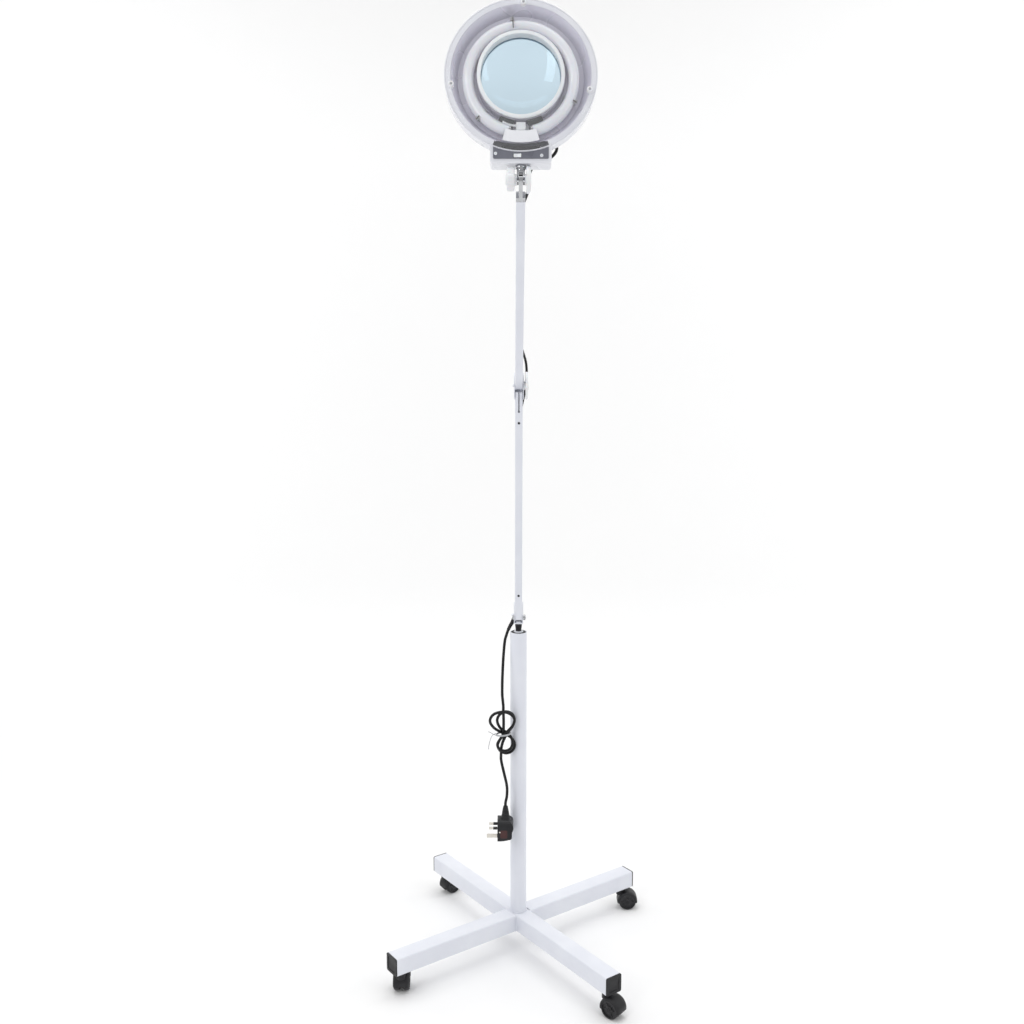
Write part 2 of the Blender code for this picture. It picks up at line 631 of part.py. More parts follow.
# ---- Head joint -----------------------------------------------------------------------------
def make_fork(looks, tip):
    """The chrome fork on the arm's tongue, its hand knob and cap, and the stem into the head."""
    axis = pivot("tilt_axis", tip, turn=HEAD_LEAN - UPPER_LEAN)
    ear = [(0.0068, 0.012)] + [(-0.0068, 0.012)] + arc((0, -0.001), 0.0068, 180, 360, 10)
    ears = [slab(ear, 0.0034, 0.0062, "X"), slab(ear, -0.0062, -0.0034, "X")]
    bridge = block((-0.0062, -0.0068, 0.0095), (0.0062, 0.0068, 0.013))
    seat = HEAD_RISE + NECK_BOTTOM
    flare = [(0.0062, 0.0125), (0.0064, 0.0140), (0.0082, 0.0185), (0.0082, seat - GAP)]
    collar = turned([(0, 0.0125)] + flare + [(0, seat - GAP)], 24)
    stem = turned(
        [
            (0, seat - 0.002),
            (0.004, seat - 0.002),
            (0.004, seat + HEAD_WALL + GAP),
            (0.008, seat + HEAD_WALL + GAP),
            (0.008, seat + HEAD_WALL + 0.004),
            (0, seat + HEAD_WALL + 0.004),
        ],
        20,
    )
    fork = carved(joined(ears[0], ears[1], bridge, collar, stem), cross_bore(BOLT_R + GAP, 0))
    add("tilt_fork", fork, looks["chrome"], axis)

    turn = pivot("hand_knob_axis", axis)
    knob = moved(lobed_knob(0.0195, 5, 0.0155, 0.0066, -0.0092, 0.11), turn=pi, axis="Z")
    add("hand_knob", knob, looks["white_plastic"], turn)
    bore = BOLT_R + GAP
    cap = [(0, 0.0096), (bore, 0.0096), (bore, 0.0065), (0.0085, 0.0065), (0.0085, 0.0088)]
    cap += [(0.0208, 0.0088), (0.0208, 0.0125), (0.0185, 0.0155), (0, 0.0165)]
    cap = turned(cap, 28)
    add("joint_cap", moved(cap, turn=pi / 2, axis="Y"), looks["white_plastic"], axis)
    arm_side = smooth_route(HEAD_LEAD_ARM, 0.010)
    tube_along("head_lead_lower", arm_side, (LEAD_R, LEAD_R), looks["black"], axis)
    return axis


# ---- Head -----------------------------------------------------------------------------------
def around_lens(profile, sides=LENS_SIDES):
    """A ring turned about the lens axis from (radius, y) points."""
    return moved(turned(profile, sides, ring=True), turn=-pi / 2, axis="X")


def make_shell(looks, centre):
    """The back shell: a round trough with the lens seat inside it and the neck box below."""
    body = [
        (HEAD_R, SHELL_FRONT),
        (HEAD_R, 0.012),
        (0.1155, 0.018),
        (0.109, HEAD_BACK),
        (0.064, HEAD_BACK),
        (0.064, 0.0062),
        (0.0608, 0.0062),
        (0.0608, 0.0040),
        (0.064, 0.0040),
        (0.064, SHELL_FRONT),
    ]
    hollow = [(0.066, -0.03), (0.1165, -0.03), (0.1165, 0.011), (0.1137, 0.0165)]
    hollow += [(0.108, 0.019), (0.066, 0.019)]
    neck = block((-NECK_HALF, SHELL_FRONT + 0.0005, NECK_BOTTOM), (NECK_HALF, HEAD_BACK - 0.0004, -0.100))
    wall = HEAD_WALL
    room = NECK_HALF - wall
    chamber = block(
        (-room, SHELL_FRONT + 0.0025, NECK_BOTTOM + wall), (room, HEAD_BACK - wall, -0.103)
    )
    window = block((-0.041, -0.03, -0.1285), (0.041, 0, -0.119))
    stem_hole = rod(0.0044, -0.15, -0.12, 16)
    body_mesh = around_lens(body)
    lead_hole = moved(moved(rod(LEAD_R + 0.0006, 0.01, 0.03, 16), turn=-pi / 2, axis="X"), (0.044, 0, -0.072))
    shell = carved(joined(body_mesh, neck), around_lens(hollow), chamber, window, stem_hole, lead_hole)
    add("rear_shell", shell, looks["white_plastic"], centre)


def make_optics(looks, centre):
    """The lens and its ring, the reflector, the ring lamp with its clips and connector, the cover."""
    crown = LENS_CROWN
    bow = (LENS_R**2 + crown**2) / (2 * crown)
    edge = LENS_EDGE / 2
    steps = 3
    front, back = [], []
    for i in range(steps + 1):
        angle = asin(LENS_R / bow) * i / steps
        rise = crown - bow * (1 - cos(angle))
        front.append((bow * sin(angle), -edge - rise))
        back.append((bow * sin(angle), edge + rise))
    lens = turned(front + back[::-1], LENS_SIDES)
    add("lens", moved(moved(lens, turn=-pi / 2, axis="X"), (0, 0.001, 0)), looks["glass"], centre)

    ring = [(0.0622, -0.0185), (0.0665, -0.0185), (0.068, -0.017), (0.068, -0.0143), (0.0637, -0.0143)]
    ring += [(0.0637, -0.0018), (0.0622, -0.0018)]
    add("lens_ring", around_lens(ring), looks["white_plastic"], centre)

    reflector = [(0.0671, -0.0100), (0.0671, 0.0095), (0.0995, 0.0095), (0.1095, -0.0130)]
    reflector += [(0.1083, -0.0130), (0.0987, 0.0083), (0.0683, 0.0083), (0.0683, -0.0100)]
    mesh = around_lens(reflector)
    vent = block((-0.038, -0.02, -0.118), (0.038, 0.02, -0.1005))
    add("reflector", carved(mesh, vent), looks["reflector"], centre)

    half_gap = 11.0
    lamp_rows, sides = 32, 8
    points, faces = [], []
    for i in range(lamp_rows + 1):
        around = radians(-90 + half_gap + (360 - 2 * half_gap) * i / lamp_rows)
        for j in range(sides):
            section = 2 * pi * j / sides
            reach = LAMP_RING_R + LAMP_TUBE_R * cos(section)
            points.append((reach * cos(around), LAMP_Y + LAMP_TUBE_R * sin(section), reach * sin(around)))
    for i in range(lamp_rows):
        for j in range(sides):
            k = (j + 1) % sides
            faces.append((i * sides + j, i * sides + k, (i + 1) * sides + k, (i + 1) * sides + j))
    faces += [tuple(range(sides)), tuple(range(lamp_rows * sides, (lamp_rows + 1) * sides))]
    add("ring_lamp", to_mesh(points, faces), looks["lamp"], centre)
    connector = block((-0.0130, -0.012, -0.0880), (0.0130, 0.004, -0.0720))
    add("lamp_connector", connector, looks["white_plastic"], centre)

    inner, outer = LAMP_TUBE_R + 0.0007, LAMP_TUBE_R + 0.0018
    hook = arc((0, 0), inner, -35, 215, 14) + arc((0, 0), outer, 215, -35, 14)
    foot = [(-0.003, outer - 0.0006), (0.003, outer - 0.0006), (0.003, 0.0110), (-0.003, 0.0110)]
    clip = joined(slab(hook, -0.003, 0.003, "Z"), slab(foot, -0.003, 0.003, "Z"))
    for name, angle in CLIP_ANGLES.items():
        add(name, clip_on_tube(clip, angle), looks["steel"], centre)

    cover = [(HEAD_R, SHELL_FRONT - GAP), (HEAD_R, -0.0200), (0.1120, -0.0240), (0.0750, -0.0240)]
    cover += [(0.0686, -0.0175), (0.0701, -0.0175), (0.0757, -0.0225), (0.1112, -0.0225)]
    cover += [(0.1168, -0.0192), (0.1168, SHELL_FRONT - GAP)]
    add("clear_cover", around_lens(cover), looks["clear"], centre)


def clip_on_tube(clip, angle):
    """A copy of the clip, made about Z, standing across the lamp's tube at an angle round the lens."""
    copy = clip.copy()
    copy.transform(Matrix.Rotation(-radians(angle), 4, "Y") @ Matrix.Translation((LAMP_RING_R, LAMP_Y, 0)))
    return copy


def make_neck(looks, centre):
    """The neck's dark front plate with the rocker switch in it, and the ballast inside."""
    front = SHELL_FRONT + 0.0005 - GAP
    rim = HEAD_R + 0.0006
    reach = PLATE_HALF
    spread = degrees(asin(reach / rim))
    top = arc((0, 0), rim, -90 + spread, -90 - spread, 14)
    outline = [(-reach, PLATE_BOTTOM), (reach, PLATE_BOTTOM)] + top
    size = ROCKER_SIZE
    slot = block(
        (ROCKER_X - size[0] / 2 - 0.0004, -0.03, ROCKER_Z - size[2] / 2 - GAP),
        (ROCKER_X + size[0] / 2 + 0.0004, 0.03, ROCKER_Z + size[2] / 2 + GAP),
    )
    plate = carved(slab(outline, front - 0.0015, front, "Y"), slot)
    add("neck_plate", plate, looks["grey"], centre)
    axis = pivot("rocker_axis", centre, (ROCKER_X, front - 0.0007, ROCKER_Z), -ROCKER_THROW, "Z")
    half = size[0] / 2
    rocker = [(-half, 0.0), (-half + 0.0008, -0.0022), (0, -0.0010), (half - 0.0008, -0.0022), (half, 0.0)]
    rocker += [(half - 0.0025, 0.0062), (-half + 0.0025, 0.0062)]
    add("rocker_switch", slab(rocker, -size[2] / 2, size[2] / 2, "Z"), looks["white_plastic"], axis)
    ballast = block((-0.030, -0.0035, -0.1285), (0.030, 0.0180, -0.1062))
    add("ballast", ballast, looks["black"], centre)
    head_side = smooth_route([(x, y, z - HEAD_RISE) for x, y, z in HEAD_LEAD_HEAD], 0.010)
    tube_along("head_lead_upper", head_side, (LEAD_R, LEAD_R), looks["black"], centre)


def main():
    clear_scene()
    looks = {
        "white": paint("white_enamel", (0.86, 0.87, 0.90), 0.35),
        "white_plastic": paint("white_plastic", (0.90, 0.90, 0.90), 0.40),
        "black": paint("black_plastic", (0.02, 0.02, 0.02), 0.50),
        "rubber": paint("wheel_tread", (0.03, 0.03, 0.03), 0.65),
        "steel": paint("zinc_steel", (0.62, 0.63, 0.65), 0.35, 1.0),
        "chrome": paint("chrome", (0.80, 0.80, 0.82), 0.10, 1.0),
        "brass": paint("plug_pin_brass", (0.75, 0.62, 0.35), 0.30, 1.0),
        "grey": paint("dark_grey_plate", (0.22, 0.23, 0.26), 0.45),
        "reflector": paint("satin_reflector", (0.74, 0.74, 0.80), 0.30, 0.3),
        "lamp": paint("lamp_glass", (0.93, 0.93, 0.95), 0.25),
        "glass": paint("lens_glass", (0.75, 0.87, 0.92), 0.02, 0.0, 0.35),
        "clear": paint("clear_acrylic", (0.92, 0.94, 0.96), 0.05, 0.0, 0.25),
    }
    make_base(looks)
    make_casters(looks)
    make_pole(looks)
    yoke_axis = make_yoke(looks)
    make_cord(looks)
    lower_axis = make_lower_arm(looks, yoke_axis)
    elbow_axis = make_elbow_knob(looks, lower_axis)
    tip = make_upper_arm(looks, elbow_axis)
    tilt = make_fork(looks, tip)
    centre = pivot("lens_axis", tilt, (0, 0, HEAD_RISE))
    make_shell(looks, centre)
    make_optics(looks, centre)
    make_neck(looks, centre)


main()
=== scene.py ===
# %% [markdown]
# # A magnifying lamp on a rolling stand
#
# The lamp is a five-inch lens with a ring lamp round it, on a folding arm that swivels on a pole
# with four caster legs. This notebook gives each part the surface that you would see on the real
# thing. Most parts are rebuilt a little finer and stand in for the plain one.

# %% Load the frame
import json
from math import atan2, cos, pi, radians, sin

import bmesh
import bpy
from mathutils import Matrix, Vector
from mathutils.geometry import interpolate_bezier

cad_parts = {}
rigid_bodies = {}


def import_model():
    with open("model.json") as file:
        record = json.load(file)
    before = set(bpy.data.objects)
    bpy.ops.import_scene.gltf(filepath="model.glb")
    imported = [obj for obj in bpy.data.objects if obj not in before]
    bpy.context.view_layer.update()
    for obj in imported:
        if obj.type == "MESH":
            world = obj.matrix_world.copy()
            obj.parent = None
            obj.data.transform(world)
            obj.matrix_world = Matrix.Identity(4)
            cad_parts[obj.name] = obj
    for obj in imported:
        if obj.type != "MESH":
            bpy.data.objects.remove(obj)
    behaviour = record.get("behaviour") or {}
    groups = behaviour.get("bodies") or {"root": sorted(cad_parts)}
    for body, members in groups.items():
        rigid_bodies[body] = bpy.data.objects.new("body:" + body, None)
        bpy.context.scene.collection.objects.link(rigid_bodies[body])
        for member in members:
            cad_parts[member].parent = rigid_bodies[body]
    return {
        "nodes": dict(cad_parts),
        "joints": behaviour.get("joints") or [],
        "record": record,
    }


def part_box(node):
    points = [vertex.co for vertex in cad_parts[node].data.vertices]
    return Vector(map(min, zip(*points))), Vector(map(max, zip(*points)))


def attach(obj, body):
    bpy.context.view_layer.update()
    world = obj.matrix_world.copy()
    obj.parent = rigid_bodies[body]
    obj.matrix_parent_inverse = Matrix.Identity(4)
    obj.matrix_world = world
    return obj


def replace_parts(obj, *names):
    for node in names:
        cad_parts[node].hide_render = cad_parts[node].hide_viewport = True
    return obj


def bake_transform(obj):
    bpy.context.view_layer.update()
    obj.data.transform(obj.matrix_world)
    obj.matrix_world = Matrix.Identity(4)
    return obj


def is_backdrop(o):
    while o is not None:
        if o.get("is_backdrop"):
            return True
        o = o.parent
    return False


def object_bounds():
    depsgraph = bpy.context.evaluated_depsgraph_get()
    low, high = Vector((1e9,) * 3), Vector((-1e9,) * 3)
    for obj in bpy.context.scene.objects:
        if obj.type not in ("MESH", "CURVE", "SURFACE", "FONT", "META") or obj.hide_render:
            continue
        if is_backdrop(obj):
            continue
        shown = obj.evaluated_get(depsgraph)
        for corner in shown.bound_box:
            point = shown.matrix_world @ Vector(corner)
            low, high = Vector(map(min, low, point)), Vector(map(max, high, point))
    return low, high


for leftover in list(bpy.data.objects):
    bpy.data.objects.remove(leftover)
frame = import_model()
cad_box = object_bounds()
print("parts in the frame:", len(frame["nodes"]))

# %% [markdown]
# ## Where everything is
#
# Every size comes from the frame, so the looks can never drift away from the parts. A joint gives
# a point and an axis. Each arm gets a matrix of its own, with Z along the tube and X level, and a
# piece is modelled upright in plain numbers and then carried into place by that matrix.

# %% Places, from the joints
JOINTS = {joint["name"]: joint for joint in frame["joints"]}
CORNERS = ("back_right", "back_left", "front_left", "front_right")


def joint_point(name):
    return Vector(JOINTS[name]["pos_m"])


def along(origin, direction):
    """A matrix whose Z runs along a direction that has no X in it, and whose X stays level."""
    up = Vector(direction).normalized()
    level = Vector((1, 0, 0))
    matrix = Matrix((level, up.cross(level), up)).transposed().to_4x4()
    matrix.translation = origin
    return matrix


def upright(origin, turn=0.0):
    return Matrix.Translation(origin) @ Matrix.Rotation(turn, 4, "Z")


def centre_of(node):
    low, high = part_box(node)
    return (low + high) / 2


SWIVEL = joint_point("yoke_swivel")
POLE = upright((0, SWIVEL.y, 0))
POLE_TOP = SWIVEL.z
LOWER_PIVOT = joint_point("lower_arm_tilt")
ELBOW = joint_point("elbow")
TILT = joint_point("head_tilt")
LOWER = along(LOWER_PIVOT, ELBOW - LOWER_PIVOT)
UPPER = along(ELBOW, TILT - ELBOW)
HEAD = along(TILT, JOINTS["head_swivel"]["axis"])
LOWER_ARM = (ELBOW - LOWER_PIVOT).length
UPPER_ARM = (TILT - ELBOW).length
HEAD_RISE = (HEAD.inverted() @ centre_of("lens")).z
LENS = HEAD @ Matrix.Translation((0, 0, HEAD_RISE))
print(f"arms {LOWER_ARM:.3f} m and {UPPER_ARM:.3f} m, lens {HEAD_RISE:.3f} m above the tilt joint")

# %% [markdown]
# ## The camera
#
# The camera is made first. It stands 2.3 m in front of the pole, a little higher than the elbow,
# and looks slightly down, so the legs of the base spread towards the viewer.

# %% Camera
camera_data = bpy.data.cameras.new("camera")
camera_data.lens = 39.62
camera = bpy.data.objects.new("camera", camera_data)
camera.location = (-0.0137, SWIVEL.y - 2.30, 1.355)
camera.rotation_euler = (radians(90 - 9.4), 0, 0)
bpy.context.scene.collection.objects.link(camera)
bpy.context.scene.camera = camera
print(f"camera {SWIVEL.y - camera.location.y:.2f} m in front of the pole, {camera.location.z:.2f} m up")

# %% [markdown]
# ## Building meshes
#
# Nearly everything on this lamp is turned, extruded or cut from tube, so four small helpers make
# most of it: rows of points skinned one to the next, a profile turned about Z, an outline
# extruded along an axis, and exact Booleans that are baked straight into a mesh.

# %% Mesh helpers
GAP = 0.0003  # what the frame leaves between touching parts


def to_mesh(points, faces):
    shape = bmesh.new()
    corners = [shape.verts.new(point) for point in points]
    for face in faces:
        shape.faces.new([corners[i] for i in face])
    bmesh.ops.recalc_face_normals(shape, faces=shape.faces)
    mesh = bpy.data.meshes.new("mesh")
    shape.to_mesh(mesh)
    shape.free()
    return mesh


def skinned(rows, closed=False):
    """A skin over rows of points. It is closed by joining its last row to its first, or by two caps."""
    count = len(rows[0])
    points = [point for row in rows for point in row]
    faces = []
    for k in range(len(rows) if closed else len(rows) - 1):
        low, high = k * count, (k + 1) % len(rows) * count
        for i in range(count):
            j = (i + 1) % count
            faces.append((low + i, low + j, high + j, high + i))
    if not closed:
        faces += [tuple(range(count)), tuple(range(len(points) - count, len(points)))]
    return to_mesh(points, faces)


def turned(profile, sides=96, ring=False):
    """Spins (radius, height) points about Z. A ring's profile closes on itself off the axis."""
    points, rows = [], []
    for radius, height in profile:
        count = sides if radius else 1
        rows.append(list(range(len(points), len(points) + count)))
        for i in range(count):
            angle = 2 * pi * i / sides
            points.append((radius * cos(angle), radius * sin(angle), height))
    faces = []
    for low, high in list(zip(rows, rows[1:])) + ([(rows[-1], rows[0])] if ring else []):
        for i in range(sides):
            j = (i + 1) % sides
            corners = [low[i % len(low)], low[j % len(low)], high[j % len(high)], high[i % len(high)]]
            faces.append(list(dict.fromkeys(corners)))
    return to_mesh(points, faces)


def slab(outline, low, high, axis="Z"):
    """Extrudes an outline. Its points are (y, z) for X, (x, z) for Y and (x, y) for Z."""
    place = {
        "X": lambda a, b, h: (h, a, b),
        "Y": lambda a, b, h: (a, h, b),
        "Z": lambda a, b, h: (a, b, h),
    }[axis]
    return skinned([[place(a, b, height) for a, b in outline] for height in (low, high)])


def block(low, high):
    return slab([(low[0], low[1]), (high[0], low[1]), (high[0], high[1]), (low[0], high[1])], low[2], high[2])


def rod(radius, low, high, sides=48):
    return turned([(0, low), (radius, low), (radius, high), (0, high)], sides)


def arc(centre, radius, start, end, steps):
    """Points on a circle from one angle to another, in degrees, with both ends."""
    angles = [radians(start + (end - start) * i / steps) for i in range(steps + 1)]
    return [(centre[0] + radius * cos(a), centre[1] + radius * sin(a)) for a in angles]


def rounded(low, high, radius, steps=6):
    """A rectangle with round corners."""
    (x0, y0), (x1, y1) = low, high
    corners = [(x1 - radius, y0 + radius, -90), (x1 - radius, y1 - radius, 0)]
    corners += [(x0 + radius, y1 - radius, 90), (x0 + radius, y0 + radius, 180)]
    return [p for x, y, start in corners for p in arc((x, y), radius, start, start + 90, steps)]


def moved(mesh, offset=(0, 0, 0), turn=0.0, axis="Z"):
    mesh.transform(Matrix.Translation(offset) @ Matrix.Rotation(turn, 4, axis))
    return mesh


def facing_x(mesh):
    """A mesh made along Z, laid along X."""
    return moved(mesh, turn=pi / 2, axis="Y")


def facing_y(mesh):
    """A mesh made along Z, laid along Y."""
    return moved(mesh, turn=-pi / 2, axis="X")


def combined(first, others, operation):
    """The first mesh with the others joined to it, cut from it or kept in common, baked."""
    body = bpy.data.objects.new("body", first)
    helpers = [bpy.data.objects.new("helper", mesh) for mesh in others]
    for item in [body] + helpers:
        bpy.context.scene.collection.objects.link(item)
    for helper in helpers:
        step = body.modifiers.new("step", "BOOLEAN")
        step.operation = operation
        step.solver = "EXACT"
        step.object = helper
    bpy.context.view_layer.update()
    mesh = bpy.data.meshes.new_from_object(body.evaluated_get(bpy.context.evaluated_depsgraph_get()))
    for item in [body] + helpers:
        bpy.data.objects.remove(item)
    return mesh


def joined(first, *others):
    return combined(first, others, "UNION")


def carved(first, *others):
    return combined(first, others, "DIFFERENCE")


def gathered(*meshes):
    """Separate closed bodies kept in one mesh, such as the links of a tie."""
    shape = bmesh.new()
    for mesh in meshes:
        shape.from_mesh(mesh)
    result = bpy.data.meshes.new("mesh")
    shape.to_mesh(result)
    shape.free()
    return result


# %% [markdown]
# ## Cables
#
# A cable is a circle carried along a smooth curve. `smooth_route` runs a Bezier through a few
# given points, which gives the easy bends of a real jacket, where straight runs joined by
# arcs would look like bent wire. `tube` then skins rings along it, turning each ring with the
# route so that it never twists or pinches.

# %% Cable helpers
def smooth_route(points, spacing):
    """Points a spacing apart along one smooth curve through the given points."""
    ends = [Vector(p) for p in points]
    slopes = [ends[min(i + 1, len(ends) - 1)] - ends[max(i - 1, 0)] for i in range(len(ends))]
    route = [ends[0]]
    for i in range(len(ends) - 1):
        reach = (ends[i + 1] - ends[i]).length / 3
        near = ends[i] + slopes[i].normalized() * reach
        far = ends[i + 1] - slopes[i + 1].normalized() * reach
        count = max(2, round(3 * reach / spacing)) + 1
        route += interpolate_bezier(ends[i], near, far, ends[i + 1], count)[1:]
    return route


def rings_along(route, radii, sides):
    """Rings square to a route. Their first direction is carried along without twisting."""
    rows, side = [], None
    for i, point in enumerate(route):
        ahead = (route[min(i + 1, len(route) - 1)] - route[max(i - 1, 0)]).normalized()
        if side is None:
            side = ahead.orthogonal().normalized()
        side = (side - ahead * side.dot(ahead)).normalized()
        other = ahead.cross(side)
        turns = [2 * pi * k / sides for k in range(sides)]
        rows.append([point + (side * cos(t) + other * sin(t)) * radii[i] for t in turns])
    return rows


def tube(route, radius, sides=16):
    radii = radius if isinstance(radius, list) else [radius] * len(route)
    return skinned(rings_along(route, radii, sides))


def length_of(route):
    return sum((b - a).length for a, b in zip(route, route[1:]))


# %% [markdown]
# ## The mains cord
#
# A mains cord just under a metre long leaves the bracket through a strain relief, hangs beside the
# pole, is tied up in four loops and ends in a plug. It could be simulated, but tied loops are
# hardly free to move, so listed points with a smooth curve through them are surer. The loops lie
# in three layers that pass over one another, and the two long runs have the same route points as
# the plain tubes in the frame. All of them are measured from the pole's axis.

# %% Cord routes, from the pole's axis
CORD_R = 0.003
RELIEF_ROUTE = [
    (-0.0085, 0.0170, 0.7502),
    (-0.0087, 0.0169, 0.7455),
    (-0.0122, 0.0158, 0.7370),
    (-0.0180, 0.0135, 0.7270),
    (-0.0215, 0.0120, 0.7200),
]
UPPER_ROUTE = [
    (-0.0216, 0.0119, 0.7197),
    (-0.0245, 0.0100, 0.7120),
    (-0.0290, 0.0055, 0.6960),
    (-0.0330, -0.0060, 0.6440),
    (-0.0343, -0.0200, 0.5900),
    (-0.0320, -0.0275, 0.5650),
    (-0.0320, -0.0275, 0.5573),
]
FIRST_LOW_LOOP = [
    (-0.0315, -0.0278, 0.5400),
    (-0.0315, -0.0278, 0.5200),
    (-0.0330, -0.0278, 0.5020),
    (-0.0400, -0.0255, 0.4890),
    (-0.0440, -0.0230, 0.4760),
    (-0.0387, -0.0225, 0.4643),
    (-0.0260, -0.0225, 0.4590),
    (-0.0133, -0.0225, 0.4643),
    (-0.0080, -0.0225, 0.4770),
    (-0.0125, -0.0225, 0.4900),
    (-0.0240, -0.0225, 0.4995),
]
WIDE_LOOP = [
    (-0.0380, -0.0230, 0.5065),
    (-0.0520, -0.0265, 0.5170),
    (-0.0600, -0.0310, 0.5330),
    (-0.0540, -0.0330, 0.5470),
    (-0.0380, -0.0330, 0.5535),
    (-0.0205, -0.0330, 0.5510),
    (-0.0090, -0.0330, 0.5395),
    (-0.0115, -0.0330, 0.5250),
    (-0.0215, -0.0330, 0.5130),
    (-0.0310, -0.0330, 0.5025),
]
SECOND_LOW_LOOP = [
    (-0.0400, -0.0330, 0.4920),
    (-0.0445, -0.0330, 0.4815),
    (-0.0400, -0.0330, 0.4723),
    (-0.0285, -0.0330, 0.4680),
    (-0.0168, -0.0320, 0.4730),
    (-0.0125, -0.0290, 0.4840),
    (-0.0160, -0.0255, 0.4960),
    (-0.0260, -0.0228, 0.5055),
]
NARROW_LOOP = [
    (-0.0385, -0.0225, 0.5150),
    (-0.0450, -0.0225, 0.5310),
    (-0.0397, -0.0225, 0.5445),
    (-0.0270, -0.0225, 0.5510),
    (-0.0140, -0.0230, 0.5465),
    (-0.0085, -0.0240, 0.5340),
    (-0.0125, -0.0270, 0.5205),
    (-0.0225, -0.0315, 0.5085),
    (-0.0290, -0.0325, 0.4970),
    (-0.0340, -0.0305, 0.4840),
    (-0.0365, -0.0280, 0.4700),
]
LOWER_ROUTE = [
    (-0.0370, -0.0275, 0.4547),
    (-0.0370, -0.0275, 0.4480),
    (-0.0350, -0.0300, 0.4370),
    (-0.0300, -0.0350, 0.4170),
    (-0.0245, -0.0400, 0.3920),
    (-0.0245, -0.0420, 0.3720),
    (-0.0275, -0.0420, 0.3555),
    (-0.0275, -0.0420, 0.3489),
]


def by_the_pole(points):
    return [POLE @ Vector(point) for point in points]


hank = FIRST_LOW_LOOP + WIDE_LOOP + SECOND_LOW_LOOP + NARROW_LOOP
whole_cord = RELIEF_ROUTE[2:-1] + UPPER_ROUTE + hank + LOWER_ROUTE
cord_line = smooth_route(by_the_pole(whole_cord), 0.0025)
print(f"cord {length_of(cord_line):.3f} m along {len(cord_line)} points")

# %% [markdown]
# ## Shared effects
#
# Four small node groups carry what more than one finish needs. *Grain* is fine unevenness, for
# the orange peel of powder coat or the spark texture of a mould. *Wear and highlight* finds edges
# with the Bevel node, which looks a little way round each point, and tints them: real wear where
# the edge goes darker, a painted edge highlight where it goes lighter. *Dust* lies where a surface
# faces up. *Drawn* stretches noise into the fine lines that rolling or turning leaves on metal.

# %% Group helpers
def new_group(name, values, outputs):
    """A shader group with number inputs, as {label: default}, and outputs with these labels."""
    group = bpy.data.node_groups.new(name, "ShaderNodeTree")
    for label, value in values.items():
        socket = group.interface.new_socket(label, in_out="INPUT", socket_type="NodeSocketFloat")
        socket.default_value = value
    for label in outputs:
        group.interface.new_socket(label, in_out="OUTPUT", socket_type="NodeSocketFloat")
    return group, group.nodes.new("NodeGroupInput"), group.nodes.new("NodeGroupOutput")


def math_node(tree, operation, *values):
    """A Math node. Each value is a number or the socket that feeds it."""
    node = tree.nodes.new("ShaderNodeMath")
    node.operation = operation
    node.use_clamp = operation in ("MULTIPLY", "SUBTRACT")
    for socket, value in zip(node.inputs, values):
        if isinstance(value, (int, float)):
            socket.default_value = value
        else:
            tree.links.new(value, socket)
    return node.outputs[0]


def noise_node(tree, vector, scale, detail=3.0):
    noise = tree.nodes.new("ShaderNodeTexNoise")
    noise.inputs["Detail"].default_value = detail
    tree.links.new(vector, noise.inputs["Vector"])
    if isinstance(scale, (int, float)):
        noise.inputs["Scale"].default_value = scale
    else:
        tree.links.new(scale, noise.inputs["Scale"])
    return noise.outputs["Fac"]


# %% The grain group
grain, ins, outs = new_group("grain", {"Scale": 800.0, "Mottle Scale": 30.0}, ("Height", "Mottle"))
where = grain.nodes.new("ShaderNodeTexCoord").outputs["Object"]
fine = noise_node(grain, where, ins.outputs["Scale"])
coarse = noise_node(grain, where, ins.outputs["Mottle Scale"], 2.0)
grain.links.new(fine, outs.inputs["Height"])
grain.links.new(coarse, outs.inputs["Mottle"])

# %% The wear-and-highlight group: darker edges are wear, lighter edges a painted highlight
wear_and_highlight, ins, outs = new_group("wear_and_highlight", {"Amount": 0.5, "Breakup Scale": 120.0}, ("Mask",))
rounding = wear_and_highlight.nodes.new("ShaderNodeBevel")
rounding.samples = 4
rounding.inputs["Radius"].default_value = 0.0008
flat = wear_and_highlight.nodes.new("ShaderNodeNewGeometry").outputs["Normal"]
likeness = wear_and_highlight.nodes.new("ShaderNodeVectorMath")
likeness.operation = "DOT_PRODUCT"
wear_and_highlight.links.new(rounding.outputs[0], likeness.inputs[0])
wear_and_highlight.links.new(flat, likeness.inputs[1])
edge = math_node(wear_and_highlight, "SUBTRACT", 0.97, likeness.outputs["Value"])
where = wear_and_highlight.nodes.new("ShaderNodeTexCoord").outputs["Object"]
broken = math_node(wear_and_highlight, "SUBTRACT", noise_node(wear_and_highlight, where, ins.outputs["Breakup Scale"]), 0.42)
sharp = math_node(wear_and_highlight, "MULTIPLY", edge, 12.0)
patches = math_node(wear_and_highlight, "MULTIPLY", broken, 6.0)
# The edge mask carries wear on some finishes and a painted edge highlight on others.
worn_and_lit_edges = math_node(wear_and_highlight, "MULTIPLY", sharp, patches)
wear_and_highlight.links.new(math_node(wear_and_highlight, "MULTIPLY", worn_and_lit_edges, ins.outputs["Amount"]), outs.inputs["Mask"])

# %% The dust group
dust, ins, outs = new_group("dust", {"Amount": 0.3}, ("Mask",))
facing = dust.nodes.new("ShaderNodeSeparateXYZ")
dust.links.new(dust.nodes.new("ShaderNodeNewGeometry").outputs["Normal"], facing.inputs[0])
where = dust.nodes.new("ShaderNodeTexCoord").outputs["Object"]
patchy = noise_node(dust, where, 45.0, 5.0)
upward = math_node(dust, "SUBTRACT", facing.outputs["Z"], 0.25)
lying = math_node(dust, "MULTIPLY", upward, patchy)
dust.links.new(math_node(dust, "MULTIPLY", lying, ins.outputs["Amount"]), outs.inputs["Mask"])

